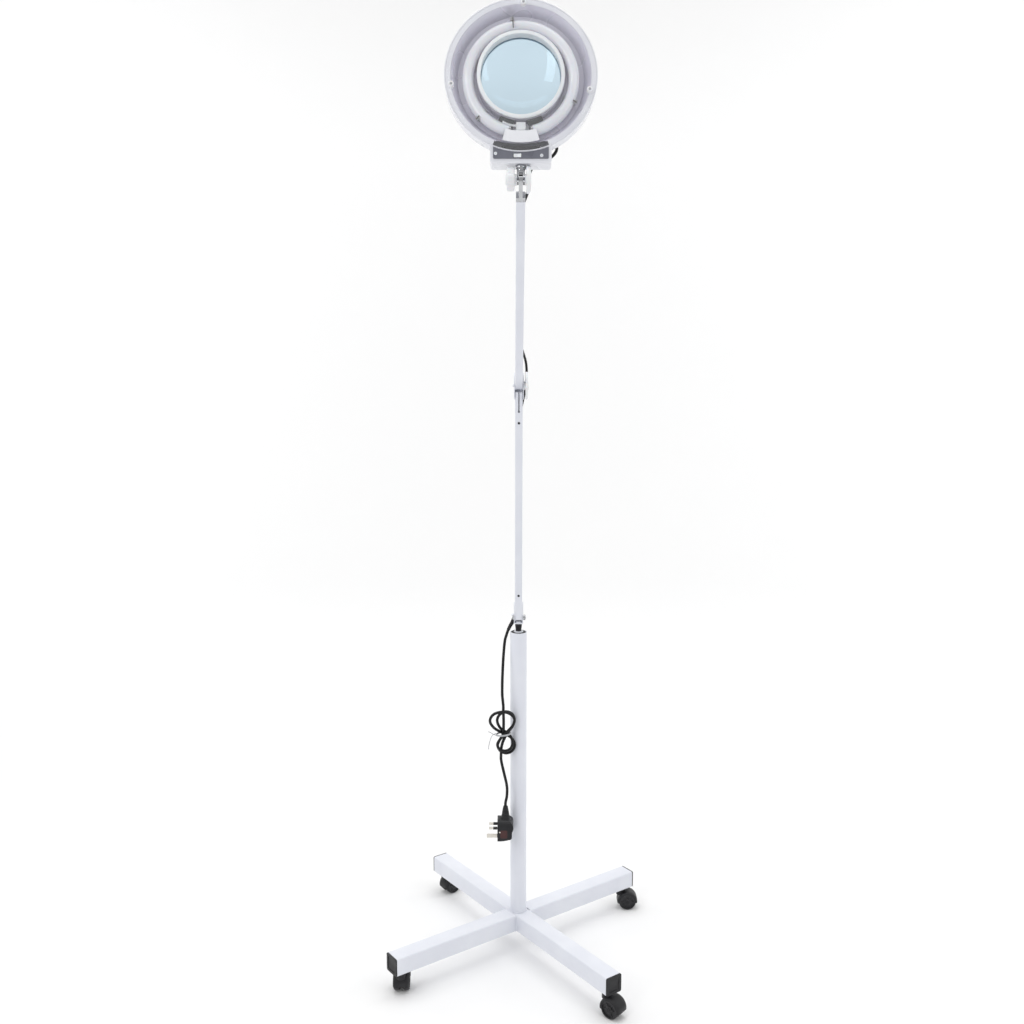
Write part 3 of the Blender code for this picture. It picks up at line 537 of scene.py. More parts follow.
# %% The drawn-metal group
drawn, ins, outs = new_group("drawn", {"Across": 900.0, "Stretch": 0.02}, ("Height", "Streaks"))
where = drawn.nodes.new("ShaderNodeTexCoord").outputs["Object"]
squeeze = drawn.nodes.new("ShaderNodeCombineXYZ")
squeeze.inputs["X"].default_value = squeeze.inputs["Y"].default_value = 1.0
drawn.links.new(ins.outputs["Stretch"], squeeze.inputs["Z"])
stretched = drawn.nodes.new("ShaderNodeVectorMath")
stretched.operation = "MULTIPLY"
drawn.links.new(where, stretched.inputs[0])
drawn.links.new(squeeze.outputs[0], stretched.inputs[1])
lines = noise_node(drawn, stretched.outputs[0], ins.outputs["Across"], 4.0)
drawn.links.new(lines, outs.inputs["Height"])
drawn.links.new(lines, outs.inputs["Streaks"])
print("effect groups:", ", ".join(group.name for group in (grain, wear_and_highlight, dust, drawn)))

# %% [markdown]
# ## Finishes
#
# One function wires the usual recipe: a colour that drifts a little between two tones, an edge
# tone that is wear where it is darker and a painted edge highlight where it is lighter, dust on
# top, and roughness and bump from the same noise. Each finish is then a line of its own numbers.
# What is the same all over, such as metal or coat, is set on the shader.

# %% The finish function
def put_group(tree, group, **values):
    node = tree.nodes.new("ShaderNodeGroup")
    node.node_tree = group
    for label, value in values.items():
        node.inputs[label.replace("_", " ").title()].default_value = value
    return node.outputs


def mixed(tree, mask, first, second):
    """A colour mix. First and second are a colour or a socket."""
    node = tree.nodes.new("ShaderNodeMix")
    node.data_type = "RGBA"
    tree.links.new(mask, node.inputs["Factor"])
    for socket, value in ((node.inputs[6], first), (node.inputs[7], second)):
        if isinstance(value, tuple):
            socket.default_value = (*value, 1)
        else:
            tree.links.new(value, socket)
    return node.outputs[2]


def ranged(tree, value, low, high):
    node = tree.nodes.new("ShaderNodeMapRange")
    tree.links.new(value, node.inputs["Value"])
    node.inputs["From Min"].default_value, node.inputs["From Max"].default_value = 0.3, 0.7
    node.inputs["To Min"].default_value, node.inputs["To Max"].default_value = low, high
    return node.outputs["Result"]


def bumped(tree, height, distance):
    node = tree.nodes.new("ShaderNodeBump")
    node.inputs["Distance"].default_value = distance
    tree.links.new(height, node.inputs["Height"])
    return node.outputs["Normal"]


DUST = (0.62, 0.62, 0.60)


def finish(name, tone, deep, rough, scale=800.0, mottle=30.0, depth=0.00004, worn_and_highlight_tone=None, wear_and_highlight_amount=0.4,
           dusty=0.0, streaks=None, **settings):
    """A material from tone to deep. Settings are the shader's own sockets, such as Metallic."""
    look = bpy.data.materials.new(name)
    look.use_nodes = True
    tree = look.node_tree
    shader = tree.nodes["Principled BSDF"]
    if streaks:
        height, drift = put_group(tree, drawn, across=scale, stretch=streaks)
    else:
        height, drift = put_group(tree, grain, scale=scale, mottle_scale=mottle)
    colour = mixed(tree, ranged(tree, drift, 0.0, 1.0), tone, deep)
    # The edge tone: wear where it is darker than the face, a painted edge highlight where it is lighter.
    if worn_and_highlight_tone:
        colour = mixed(tree, put_group(tree, wear_and_highlight, amount=wear_and_highlight_amount)[0], colour, worn_and_highlight_tone)
    if dusty:
        colour = mixed(tree, put_group(tree, dust, amount=dusty)[0], colour, DUST)
    tree.links.new(colour, shader.inputs["Base Color"])
    tree.links.new(ranged(tree, drift, *rough), shader.inputs["Roughness"])
    tree.links.new(bumped(tree, height, depth), shader.inputs["Normal"])
    for label, value in settings.items():
        shader.inputs[label.replace("_", " ")].default_value = value
    return look


# %% The lamp's finishes
# Edge tones lighter than the face are painted edge highlight; the darker edges of the powder coat, chrome and
# zinc are wear.
COOL_WHITE, SHADE_WHITE = (0.78, 0.80, 0.86), (0.73, 0.75, 0.82)
enamel = finish("white_powder_coat", COOL_WHITE, SHADE_WHITE, (0.30, 0.42), 420, 14, 0.00006,
                worn_and_highlight_tone=(0.60, 0.61, 0.63), wear_and_highlight_amount=0.25, dusty=0.10, Coat_Weight=0.25, Coat_Roughness=0.12)
white_plastic = finish("white_moulded_plastic", (0.84, 0.85, 0.86), (0.78, 0.79, 0.82), (0.26, 0.38), 1400,
                       25, 0.00002, worn_and_highlight_tone=(0.90, 0.90, 0.90), dusty=0.06, Subsurface_Weight=0.06)
shell_plastic = finish("shell_plastic", (0.80, 0.81, 0.85), (0.72, 0.73, 0.79), (0.22, 0.34), 1100, 18,
                       0.00002, worn_and_highlight_tone=(0.90, 0.90, 0.92), dusty=0.08, Coat_Weight=0.3)
black_plastic = finish("black_moulded_plastic", (0.016, 0.016, 0.018), (0.010, 0.010, 0.012), (0.38, 0.55),
                       1900, 40, 0.00003, worn_and_highlight_tone=(0.09, 0.09, 0.10), wear_and_highlight_amount=0.6, dusty=0.02,
                       Specular_IOR_Level=0.35)
nylon = finish("wheel_nylon", (0.022, 0.022, 0.025), (0.014, 0.014, 0.016), (0.34, 0.55), 1500, 60,
               0.00003, worn_and_highlight_tone=(0.12, 0.12, 0.12), wear_and_highlight_amount=0.7, dusty=0.04, Specular_IOR_Level=0.4)
jacket = finish("cord_jacket", (0.008, 0.008, 0.009), (0.005, 0.005, 0.006), (0.34, 0.48), 1200, 50, 0.00002,
                Specular_IOR_Level=0.3)
zinc = finish("zinc_plate", (0.52, 0.53, 0.54), (0.40, 0.41, 0.43), (0.22, 0.38), 700, depth=0.00001,
              streaks=0.15, worn_and_highlight_tone=(0.42, 0.42, 0.43), Metallic=1.0)
spring_steel = finish("dark_spring_steel", (0.10, 0.09, 0.08), (0.06, 0.055, 0.05), (0.25, 0.4), 900,
                      depth=0.00001, streaks=0.2, Metallic=0.7)
chrome = finish("chrome_plate", (0.56, 0.57, 0.58), (0.46, 0.47, 0.49), (0.05, 0.13), 500, 60, 0.000004,
                worn_and_highlight_tone=(0.52, 0.52, 0.53), Metallic=1.0)
nickel = finish("nickel_pins", (0.74, 0.71, 0.66), (0.62, 0.59, 0.53), (0.18, 0.32), 900, depth=0.00001,
                streaks=0.1, Metallic=1.0)
plate_grey = finish("neck_plate_paint", (0.115, 0.120, 0.150), (0.165, 0.170, 0.205), (0.24, 0.36), 900, 22,
                    0.00002, worn_and_highlight_tone=(0.32, 0.33, 0.36), Coat_Weight=0.4)
satin_silver = finish("satin_reflector", (0.70, 0.69, 0.78), (0.60, 0.59, 0.69), (0.24, 0.34), 600, 9,
                      0.00001, worn_and_highlight_tone=(0.84, 0.84, 0.88), Metallic=0.35)
tube_white = finish("phosphor_tube", (0.83, 0.83, 0.87), (0.76, 0.76, 0.81), (0.12, 0.20), 260, 16, 0.00001,
                    Coat_Weight=0.6, Coat_Roughness=0.04, Subsurface_Weight=0.15)
paper = finish("label_paper", (0.88, 0.89, 0.92), (0.84, 0.85, 0.89), (0.40, 0.55), 2500, 60, 0.00001)
fuse_red = finish("fuse_carrier", (0.060, 0.012, 0.012), (0.040, 0.008, 0.008), (0.34, 0.46), 1500, 40,
                  0.00002, worn_and_highlight_tone=(0.16, 0.05, 0.05))
# Painted shade: a near-black sheet colour that stands for the dark gap seen through the reflector's slots.
painted_shade_black = finish("insulating_card", (0.012, 0.016, 0.015), (0.020, 0.026, 0.024), (0.5, 0.7), 2000, 30,
                    0.00002)
tie_grey = finish("tie_plastic", (0.52, 0.53, 0.55), (0.40, 0.41, 0.43), (0.4, 0.55), 1800, 200, 0.00002)
print("finishes:", len(bpy.data.materials))

# %% [markdown]
# ## Clear parts
#
# The lens is real refracting glass with a faint blue tint, and because its shape is a true
# double-convex lens it gathers the room behind it. The cover is thin clear plastic: at that
# thickness refraction does little, so it is made with low alpha, which lets the light straight in
# to the reflector and keeps only the gloss and a milky rim.

# %% Clear finishes
def clear_finish(name, colour, rough, smear, **settings):
    look = bpy.data.materials.new(name)
    look.use_nodes = True
    tree = look.node_tree
    shader = tree.nodes["Principled BSDF"]
    height, drift = put_group(tree, grain, scale=160.0, mottle_scale=smear)
    tree.links.new(ranged(tree, drift, *rough), shader.inputs["Roughness"])
    tree.links.new(bumped(tree, height, 0.000004), shader.inputs["Normal"])
    shader.inputs["Base Color"].default_value = (*colour, 1)
    for label, value in settings.items():
        shader.inputs[label.replace("_", " ")].default_value = value
    return look


lens_glass = clear_finish("lens_glass", (0.62, 0.77, 0.865), (0.0, 0.015), 12.0, Transmission_Weight=1.0,
                          IOR=1.52)
clear_plastic = clear_finish("clear_cover_plastic", (0.88, 0.89, 0.93), (0.03, 0.09), 20.0, Alpha=0.06,
                             Coat_Weight=1.0, Coat_Roughness=0.03)
print(f"lens IOR {lens_glass.node_tree.nodes['Principled BSDF'].inputs['IOR'].default_value:.2f}")

# %% [markdown]
# ## Putting pieces in place
#
# A finished piece sits at the origin with its place in its mesh, and rides on the body it belongs
# to, so it moves when a joint moves. `refine` takes the name of a plain part and looks up its body
# and finish in the frame. `detail` is for a piece that the frame leaves out, such as a screw.

# %% Piece helpers
PART_SLOT = {part["node"]: part["material_slot"] for part in frame["record"]["subparts"]}
BODY_NODES = frame["record"]["behaviour"]["bodies"]
PART_BODY = {node: body for body, nodes in BODY_NODES.items() for node in nodes}
print("plain parts with a body and a finish:", len(PART_BODY), len(PART_SLOT))


def shaped(name, mesh, look, place, bevel=0.0):
    mesh.transform(place)
    mesh.materials.clear()
    mesh.materials.append(look)
    mesh.shade_smooth()
    piece = bpy.data.objects.new(name, mesh)
    bpy.context.scene.collection.objects.link(piece)
    if bevel:
        edge = piece.modifiers.new("edge", "BEVEL")
        edge.width, edge.segments = bevel, 2
        edge.limit_method, edge.angle_limit = "ANGLE", radians(32)
        edge.harden_normals = True
    else:
        mesh.set_sharp_from_angle(angle=radians(38))
    return piece


def detail(name, mesh, look, place, body, slot, bevel=0.0):
    """A piece that the frame leaves out."""
    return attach(shaped(name, mesh, look, place, bevel), body)


def refine(node, mesh, look, place, bevel=0.0):
    """A finer piece that stands for a plain part."""
    piece = detail("fine_" + node, mesh, look, place, PART_BODY[node], PART_SLOT[node], bevel)
    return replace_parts(piece, node)


# %% [markdown]
# ## Jacket and strain relief
#
# The jacket is a round tube along the route. The strain relief is a soft rubber tail that keeps
# the cord from kinking where it leaves the bracket: it tapers, and grooves let it bend. It is the
# same tube helper with a radius of its own at each ring, which needs no cutting.

# %% The cord in its jacket, and the strain relief
RELIEF_THICK, RELIEF_TAPER = 0.0048, 0.0011
RELIEF_GROOVES, GROOVE_DEPTH = 7, 0.0004
cord = shaped("mains_cord", tube(cord_line, CORD_R, 20), jacket, Matrix())
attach(cord, "yoke")
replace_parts(cord, "cord_upper", "cord_hank", "cord_lower")

relief_line = smooth_route(by_the_pole(RELIEF_ROUTE), 0.0006)
relief_radii = []
for i in range(len(relief_line)):
    share = i / (len(relief_line) - 1)
    grooved = share > 0.25 and sin(share * 2 * pi * RELIEF_GROOVES) > 0.55
    groove = GROOVE_DEPTH if grooved else 0.0
    relief_radii.append(RELIEF_THICK - RELIEF_TAPER * share - groove)
relief = refine("cord_gland", tube(relief_line, relief_radii, 24), black_plastic, Matrix())
print(f"strain relief {1000 * length_of(relief_line):.0f} mm long")

# %% [markdown]
# ## The plug
#
# A moulded three-pin plug has two outlines: seen from the side it is a wedge with a round back,
# and seen from the pins it is narrow at the cord and wide at the far end. It could be sculpted
# from a box, but extruding both outlines and keeping what they share gives the body in one step.
# The line and neutral pins wear a short sleeve.

# %% Plug
plug_centre = centre_of("plug_body")
plug_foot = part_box("plug_body")[0].z
PLUG = Matrix.Translation((plug_centre.x, plug_centre.y, plug_foot + 0.029))
from_side = [(-0.0170, -0.0285), (-0.0170, 0.0150), (-0.0150, 0.0168), (-0.0040, 0.0172), (0.0075, 0.0165)]
from_side += arc((0.0030, 0.0020), 0.0138, 42, -38, 10) + [(0.0138, -0.0165)]
from_side += arc((0.0085, -0.0185), 0.0050, -5, -75, 4) + [(-0.0140, -0.0290)]
from_pins = arc((0.0160, -0.0230), 0.0058, -90, 0, 4)
from_pins += [(0.0220, -0.0020)] + arc((0.0090, 0.0060), 0.0110, 15, 90, 6)
from_pins += [(-y, z) for y, z in reversed(from_pins)]
plug = combined(slab(from_side, -0.03, 0.03, "Y"), [slab(from_pins, -0.03, 0.03, "X")], "INTERSECT")
boot_profile = [(0, 0.008), (0.0112, 0.008), (0.0108, 0.0165), (0.0094, 0.0205), (0.0080, 0.0250)]
for step in range(5):
    low = 0.0258 + 0.0034 * step
    wide = 0.0078 - 0.0006 * step
    boot_profile += [(wide, low), (wide, low + 0.0020), (wide - 0.0011, low + 0.0022),
                     (wide - 0.0011, low + 0.0032)]
boot = turned(boot_profile + [(0.0046, 0.0432), (0, 0.0432)], 48)
plug = refine("plug_body", joined(plug, boot), black_plastic, PLUG, 0.0009)
carrier = slab(rounded((-0.0110, -0.0200), (0.0040, -0.0020), 0.003), -0.0223, -0.0200, "Y")
plug_screw = moved(facing_y(rod(0.0017, -0.0227, -0.0200, 24)), (-0.0120, 0, -0.0060))
plug_parts = [relief, plug, detail("fuse_carrier", carrier, fuse_red, PLUG, "yoke", "black_plastic", 0.0004),
              detail("plug_screw", plug_screw, nickel, PLUG, "yoke", "plug_pin", 0.0003)]
for node in ("earth_pin", "line_pin", "neutral_pin"):
    low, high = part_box(node)
    plug_parts.append(refine(node, block(low, high), nickel, Matrix(), 0.0007))
    if node != "earth_pin":
        skin = Vector((0, 0.00015, 0.00015))
        sleeve = block(Vector((high.x - 0.009, low.y, low.z)) - skin, high + skin)
        sleeve = detail(node + "_sleeve", sleeve, black_plastic, Matrix(), "yoke", "black_plastic", 0.0007)
        plug_parts.append(sleeve)
print("pieces on the end of the cord:", len(plug_parts))

# %% [markdown]
# ## The tie
#
# A thin coated wire goes three times round the bundle where the loops cross and leaves two loose
# ends. Its turns follow an ellipse a little bigger than the five strands of cord, from a formula,
# because hand-placed points would wobble.

# %% Twist tie
TIE_R, TIE_TURNS, TIE_STEPS = 0.0008, 3, 24
tie_centre = Vector((-0.0315, -0.0278, 0.5020))
waist = []
for i in range(TIE_TURNS * TIE_STEPS + 1):
    angle = 2 * pi * i / TIE_STEPS + pi
    climb = 0.0011 * i / TIE_STEPS + 0.0016 * cos(angle)
    waist.append(tie_centre + Vector((0.0150 * cos(angle), 0.0102 * sin(angle), climb)))
first_end = [waist[-1], (-0.0500, -0.0285, 0.5040), (-0.0560, -0.0300, 0.5000), (-0.0600, -0.0310, 0.4900)]
first_end += [(-0.0625, -0.0300, 0.4790), (-0.0632, -0.0290, 0.4700)]
second_end = [waist[0], (-0.0500, -0.0265, 0.5010), (-0.0560, -0.0255, 0.5035), (-0.0610, -0.0250, 0.5065)]
second_end += [(-0.0640, -0.0250, 0.5075)]
strands = [smooth_route(by_the_pole(points), 0.0012) for points in (waist, first_end, second_end)]
tie_mesh = gathered(*[tube(strand, TIE_R, 8) for strand in strands])
tie = detail("twist_tie", tie_mesh, tie_grey, Matrix(), "yoke", "white_plastic")
print(f"tie: {TIE_TURNS} turns, ends {length_of(strands[1]):.3f} m and {length_of(strands[2]):.3f} m")

# %% [markdown]
# ## Things that repeat
#
# Three jobs repeat on this lamp: the ribs of a wheel, the coils of a spring, and screws. Each is
# one Geometry Nodes tree with named inputs. A tree ends in Realize Instances and Set Material,
# and `grown` bakes what it makes into a plain mesh, so nothing live is left on a piece.

# %% Geometry Nodes helpers
def new_tree(name, inputs):
    """A tree with these inputs, as {label: (socket type, default)}."""
    tree = bpy.data.node_groups.new(name, "GeometryNodeTree")
    tree.interface.new_socket("Geometry", in_out="INPUT", socket_type="NodeSocketGeometry")
    for label, (kind, value) in inputs.items():
        socket = tree.interface.new_socket(label, in_out="INPUT", socket_type="NodeSocket" + kind)
        if value is not None:
            socket.default_value = value
    tree.interface.new_socket("Geometry", in_out="OUTPUT", socket_type="NodeSocketGeometry")
    return tree, tree.nodes.new("NodeGroupInput").outputs, tree.nodes.new("NodeGroupOutput")


def node_in(tree, kind, **links):
    """A node whose sockets are fed by name, each from a number, a vector or another socket."""
    node = tree.nodes.new(kind)
    for label, value in links.items():
        socket = node.inputs[label.replace("_", " ")]
        if isinstance(value, bpy.types.NodeSocket):
            tree.links.new(value, socket)
        else:
            socket.default_value = value
    return node


def sums(tree, operation, first, second):
    """A Math node in a geometry tree, fed like node_in."""
    node = tree.nodes.new("ShaderNodeMath")
    node.operation = operation
    for socket, value in zip(node.inputs, (first, second)):
        if isinstance(value, bpy.types.NodeSocket):
            tree.links.new(value, socket)
        else:
            socket.default_value = value
    return node.outputs[0]


def close_tree(tree, geometry, material, end):
    real = node_in(tree, "GeometryNodeRealizeInstances", Geometry=geometry)
    painted = node_in(tree, "GeometryNodeSetMaterial", Geometry=real.outputs[0], Material=material)
    tree.links.new(painted.outputs[0], end.inputs[0])


def grown(tree, values, points=()):
    """Runs a tree on loose points with its inputs set, and returns the plain mesh that it makes."""
    seed = bpy.data.meshes.new("seed")
    seed.from_pydata(list(points), [], [])
    holder = bpy.data.objects.new("holder", seed)
    bpy.context.scene.collection.objects.link(holder)
    modifier = holder.modifiers.new("grow", "NODES")
    modifier.node_group = tree
    for item in tree.interface.items_tree:
        if item.in_out == "INPUT" and item.name in values:
            modifier[item.identifier] = values[item.name]
    bpy.context.view_layer.update()
    mesh = bpy.data.meshes.new_from_object(holder.evaluated_get(bpy.context.evaluated_depsgraph_get()))
    bpy.data.objects.remove(holder)
    return mesh


# %% A tree for the ribs round a hub
ribs, ins, end = new_tree("hub_ribs", {
    "Count": ("Int", 6), "Inner": ("Float", 0.008), "Outer": ("Float", 0.015),
    "Width": ("Float", 0.0014), "Height": ("Float", 0.0012), "Material": ("Material", None),
})
reach = sums(ribs, "SUBTRACT", ins["Outer"], ins["Inner"])
middle = sums(ribs, "MULTIPLY", sums(ribs, "ADD", ins["Outer"], ins["Inner"]), 0.5)
size = node_in(ribs, "ShaderNodeCombineXYZ", X=reach, Y=ins["Width"], Z=ins["Height"])
rib = node_in(ribs, "GeometryNodeMeshCube", Size=size.outputs[0])
circle = node_in(ribs, "GeometryNodeMeshCircle", Vertices=ins["Count"], Radius=middle)
index = ribs.nodes.new("GeometryNodeInputIndex").outputs[0]
turn = sums(ribs, "MULTIPLY", index, sums(ribs, "DIVIDE", 2 * pi, ins["Count"]))
spin = node_in(ribs, "ShaderNodeCombineXYZ", Z=turn)
laid = node_in(ribs, "GeometryNodeInstanceOnPoints", Points=circle.outputs["Mesh"],
               Instance=rib.outputs["Mesh"], Rotation=spin.outputs[0])
close_tree(ribs, laid.outputs[0], ins["Material"], end)

# %% A tree for a coil spring
coil, ins, end = new_tree("coil_spring", {
    "Radius": ("Float", 0.004), "Wire Radius": ("Float", 0.0007), "Pitch": ("Float", 0.0016),
    "Length": ("Float", 0.28), "Material": ("Material", None),
})
turns = sums(coil, "DIVIDE", ins["Length"], ins["Pitch"])
helix = node_in(coil, "GeometryNodeCurveSpiral", Resolution=12, Rotations=turns, Start_Radius=ins["Radius"],
                End_Radius=ins["Radius"], Height=ins["Length"])
wire = node_in(coil, "GeometryNodeCurvePrimitiveCircle", Resolution=6, Radius=ins["Wire Radius"])
wound = node_in(coil, "GeometryNodeCurveToMesh", Curve=helix.outputs[0], Profile_Curve=wire.outputs["Curve"],
                Fill_Caps=True)
close_tree(coil, wound.outputs[0], ins["Material"], end)

# %% A tree that puts a screw on each point, each with its cross turned its own way
screws, ins, end = new_tree("screws_on_points", {
    "Screw": ("Object", None), "Scale": ("Float", 1.0), "Seed": ("Int", 7), "Material": ("Material", None),
})
pattern = node_in(screws, "GeometryNodeObjectInfo", Object=ins["Screw"], As_Instance=True)
chance = node_in(screws, "FunctionNodeRandomValue", Seed=ins["Seed"])
any_turn = node_in(screws, "ShaderNodeCombineXYZ", Z=sums(screws, "MULTIPLY", chance.outputs[1], 2 * pi))
driven = node_in(screws, "GeometryNodeInstanceOnPoints", Points=ins["Geometry"],
                 Instance=pattern.outputs["Geometry"], Rotation=any_turn.outputs[0], Scale=ins["Scale"])
close_tree(screws, driven.outputs[0], ins["Material"], end)

# %% The screw itself, with a domed head and a cross recess
dome = [(0, -0.0030), (0.0012, -0.0030), (0.0012, 0.0), (0.0025, 0.0), (0.0026, 0.0004)]
dome += [(0.0023, 0.0009), (0.0016, 0.0013), (0.0008, 0.0015), (0, 0.0015)]
cross = joined(block((-0.0014, -0.0003, 0.0007), (0.0014, 0.0003, 0.003)),
               block((-0.0003, -0.0014, 0.0007), (0.0003, 0.0014, 0.003)))
screw = bpy.data.objects.new("screw_pattern", carved(turned(dome, 32), cross))
bpy.context.scene.collection.objects.link(screw)
print("trees:", ", ".join(tree.name for tree in (ribs, coil, screws)))


def screws_on(points, look, scale, place):
    """Screws on points in a plane, whose Z stands out of the surface at place."""
    mesh = grown(screws, {"Screw": screw, "Scale": scale, "Material": look}, points)
    mesh.transform(place)
    return mesh


# %% [markdown]
# ## The base
#
# One square tube runs right through and two half legs butt onto it, each welded all round. Square
# tube is rolled, so its corners are round outside and inside. The end caps are moulded plugs that
# also hold the caster stems, so the hole for the stem goes up into them.

# %% Tubes
def tube_ring(half, radius, height):
    return [(x, y, height) for x, y in rounded((-half, -half), (half, half), radius, 5)]


def square_tube(side, wall, radius, low, high):
    """A rolled square tube along Z, open at both ends."""
    half = side / 2
    inner, bend = half - wall, max(radius - wall, 0.0003)
    return skinned([tube_ring(half, radius, low), tube_ring(half, radius, high),
                    tube_ring(inner, bend, high), tube_ring(inner, bend, low)], closed=True)


LEG_LOW, LEG_HIGH = (corner.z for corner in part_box("base_tube_long"))
TUBE = LEG_HIGH - LEG_LOW
TUBE_WALL = 0.0015
axes = {corner: joint_point("caster_swivel_" + corner) - SWIVEL for corner in CORNERS}
CASTER_REACH = axes["back_right"].xy.length
LEG_TURN = {corner: atan2(axis.y, axis.x) for corner, axis in axes.items()}
TUBE_END = max((v.co.xy - SWIVEL.xy).dot(axes["back_right"].xy.normalized())
               for v in frame["nodes"]["base_tube_back_right"].data.vertices)


def leg_place(corner):
    """X points out along a leg, from the middle of the cross."""
    return upright((SWIVEL.x, SWIVEL.y, (LEG_LOW + LEG_HIGH) / 2), LEG_TURN[corner])


def leg_tube(low, high, stems):
    mesh = facing_x(square_tube(TUBE, TUBE_WALL, 0.0032, low, high))
    return carved(mesh, *[moved(rod(0.0057, -TUBE, 0), (x, 0, 0)) for x in stems])


BOLT_HOLE_R = 0.0054
through = carved(leg_tube(-TUBE_END, TUBE_END, (-CASTER_REACH, CASTER_REACH)), rod(BOLT_HOLE_R, -TUBE, TUBE))
refine("base_tube_long", through, enamel, leg_place("back_left"))
half_leg = leg_tube(TUBE / 2 + GAP, TUBE_END, (CASTER_REACH,))
HALF_LEGS = ("back_right", "front_left")
for corner in HALF_LEGS:
    refine("base_tube_" + corner, half_leg.copy(), enamel, leg_place(corner))
print(f"square tube {1000 * TUBE:.0f} mm, legs {1000 * TUBE_END:.0f} mm long")

# %% [markdown]
# ## Welds
#
# A weld is a thin bead with small ripples where the pool froze. A ring of rings with a radius that
# rises and falls by a sine shows that well enough, and it takes the same skin helper as a cable.
# There is one round each half leg where it butts, and later one round the pole's foot.

# %% Weld beads
def bead(route, radius, ripples):
    """A closed bead with the small waves of a hand-laid weld."""
    count = len(route)
    radii = [radius * (1 + 0.13 * sin(2 * pi * ripples * i / count)) for i in range(count)]
    return skinned(rings_along(route + route[:1], radii + radii[:1], 10)[:-1], closed=True)


def resampled(points, spacing):
    """Points a spacing apart along straight runs, and back to the start."""
    route = []
    for a, b in zip(points, points[1:] + points[:1]):
        steps = max(1, round((b - a).length / spacing))
        route += [a.lerp(b, i / steps) for i in range(steps)]
    return route


butt = [Vector((TUBE / 2 + 0.0004, y, z)) for y, z in rounded((-TUBE / 2,) * 2, (TUBE / 2,) * 2, 0.0035, 5)]
for corner in HALF_LEGS:
    weld = bead(resampled(butt, 0.0008), 0.0011, 46)
    detail("weld_" + corner, weld, enamel, leg_place(corner), "base", "white_enamel")
print("welds on the legs:", len(HALF_LEGS))

# %% [markdown]
# ## End caps and the centre bolt
#
# Each cap is one moulding: a flange with a shallow sunk panel, a hollow insert that grips inside
# the tube, and a boss with the hole for a caster's stem. Boxes and rods joined and cut give all
# of it, and one mesh is copied to four corners. The bolt is a six-sided head, a shank and a nut.

# %% End caps
GRIP = TUBE / 2 - TUBE_WALL - GAP
flange = slab(rounded((-TUBE / 2,) * 2, (TUBE / 2,) * 2, 0.0034, 5), TUBE_END + GAP, TUBE_END + 0.0028, "X")
panel = slab(rounded((-0.0135,) * 2, (0.0135,) * 2, 0.002, 4), TUBE_END + 0.0018, TUBE_END + 0.006, "X")
insert = slab(rounded((-GRIP,) * 2, (GRIP,) * 2, 0.0018, 3), TUBE_END - 0.040, TUBE_END + 0.0010, "X")
hollow = slab(rounded((-GRIP + 0.002,) * 2, (GRIP - 0.002,) * 2, 0.001, 2), TUBE_END - 0.05,
              TUBE_END - 0.0015, "X")
boss = moved(rod(0.0090, -GRIP, 0.014), (CASTER_REACH, 0, 0))
socket = moved(rod(0.0055, -TUBE, 0.012), (CASTER_REACH, 0, 0))
cap = carved(joined(carved(joined(flange, insert), hollow), boss), socket)
cap = carved(cap, panel)
print("one end cap:", len(cap.polygons), "faces")
for corner in CORNERS:
    refine("end_cap_" + corner, cap.copy(), black_plastic, leg_place(corner), 0.0006)

# %% The bolt that holds the pole on the cross
bolt_low, bolt_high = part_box("centre_bolt")
HEX_R = 0.0098
head = turned([(0, bolt_low.z), (HEX_R - 0.001, bolt_low.z), (HEX_R, bolt_low.z + 0.001),
               (HEX_R, LEG_LOW - GAP), (0, LEG_LOW - GAP)], 6)
nut_low = LEG_HIGH + 0.0066
NUT_HIGH = 0.008
nut = turned([(0, nut_low), (HEX_R, nut_low), (HEX_R, nut_low + NUT_HIGH), (0, nut_low + NUT_HIGH)], 6)
shank = rod(0.005, bolt_low.z + 0.003, bolt_high.z)
refine("centre_bolt", joined(head, shank, nut), zinc, POLE, 0.0004)
print(f"bolt {1000 * (bolt_high.z - bolt_low.z):.0f} mm long")

# %% [markdown]
# ## Casters
#
# A twin-wheel caster is a domed hood over two small wheels on one axle. The hood could be cut from
# a solid, but its section is drawn once, across the wheels, and swept round the axle, which gives
# the crown and the side lips together. The four casters share one shape and each trails its own
# way, because they swivel.

# %% The hood
AXLE = joint_point("wheel_a_spin_back_right")
WHEEL_R = AXLE.z
TRAIL = (AXLE - joint_point("caster_swivel_back_right")).xy.length
HUB = (TRAIL, WHEEL_R)
HOOD_R = 0.0237
WEB_HALF = 0.004
half_section = [(0.0060, HOOD_R), (0.0105, HOOD_R - 0.0002), (0.0138, HOOD_R - 0.0009),
                (0.0158, HOOD_R - 0.0023)]
half_section += [(0.0168, HOOD_R - 0.0044), (0.0168, 0.0180), (0.0166, 0.0174), (0.0164, 0.0180)]
half_section += [(0.0164, HOOD_R - 0.0050), (0.0152, HOOD_R - 0.0036), (0.0125, HOOD_R - 0.0024)]
half_section += [(0.0060, HOOD_R - 0.0020)]
section = half_section + [(-y, r) for y, r in reversed(half_section)]


def round_axle(angle):
    a = radians(angle)
    return [(HUB[0] + r * cos(a), y, HUB[1] + r * sin(a)) for y, r in section]


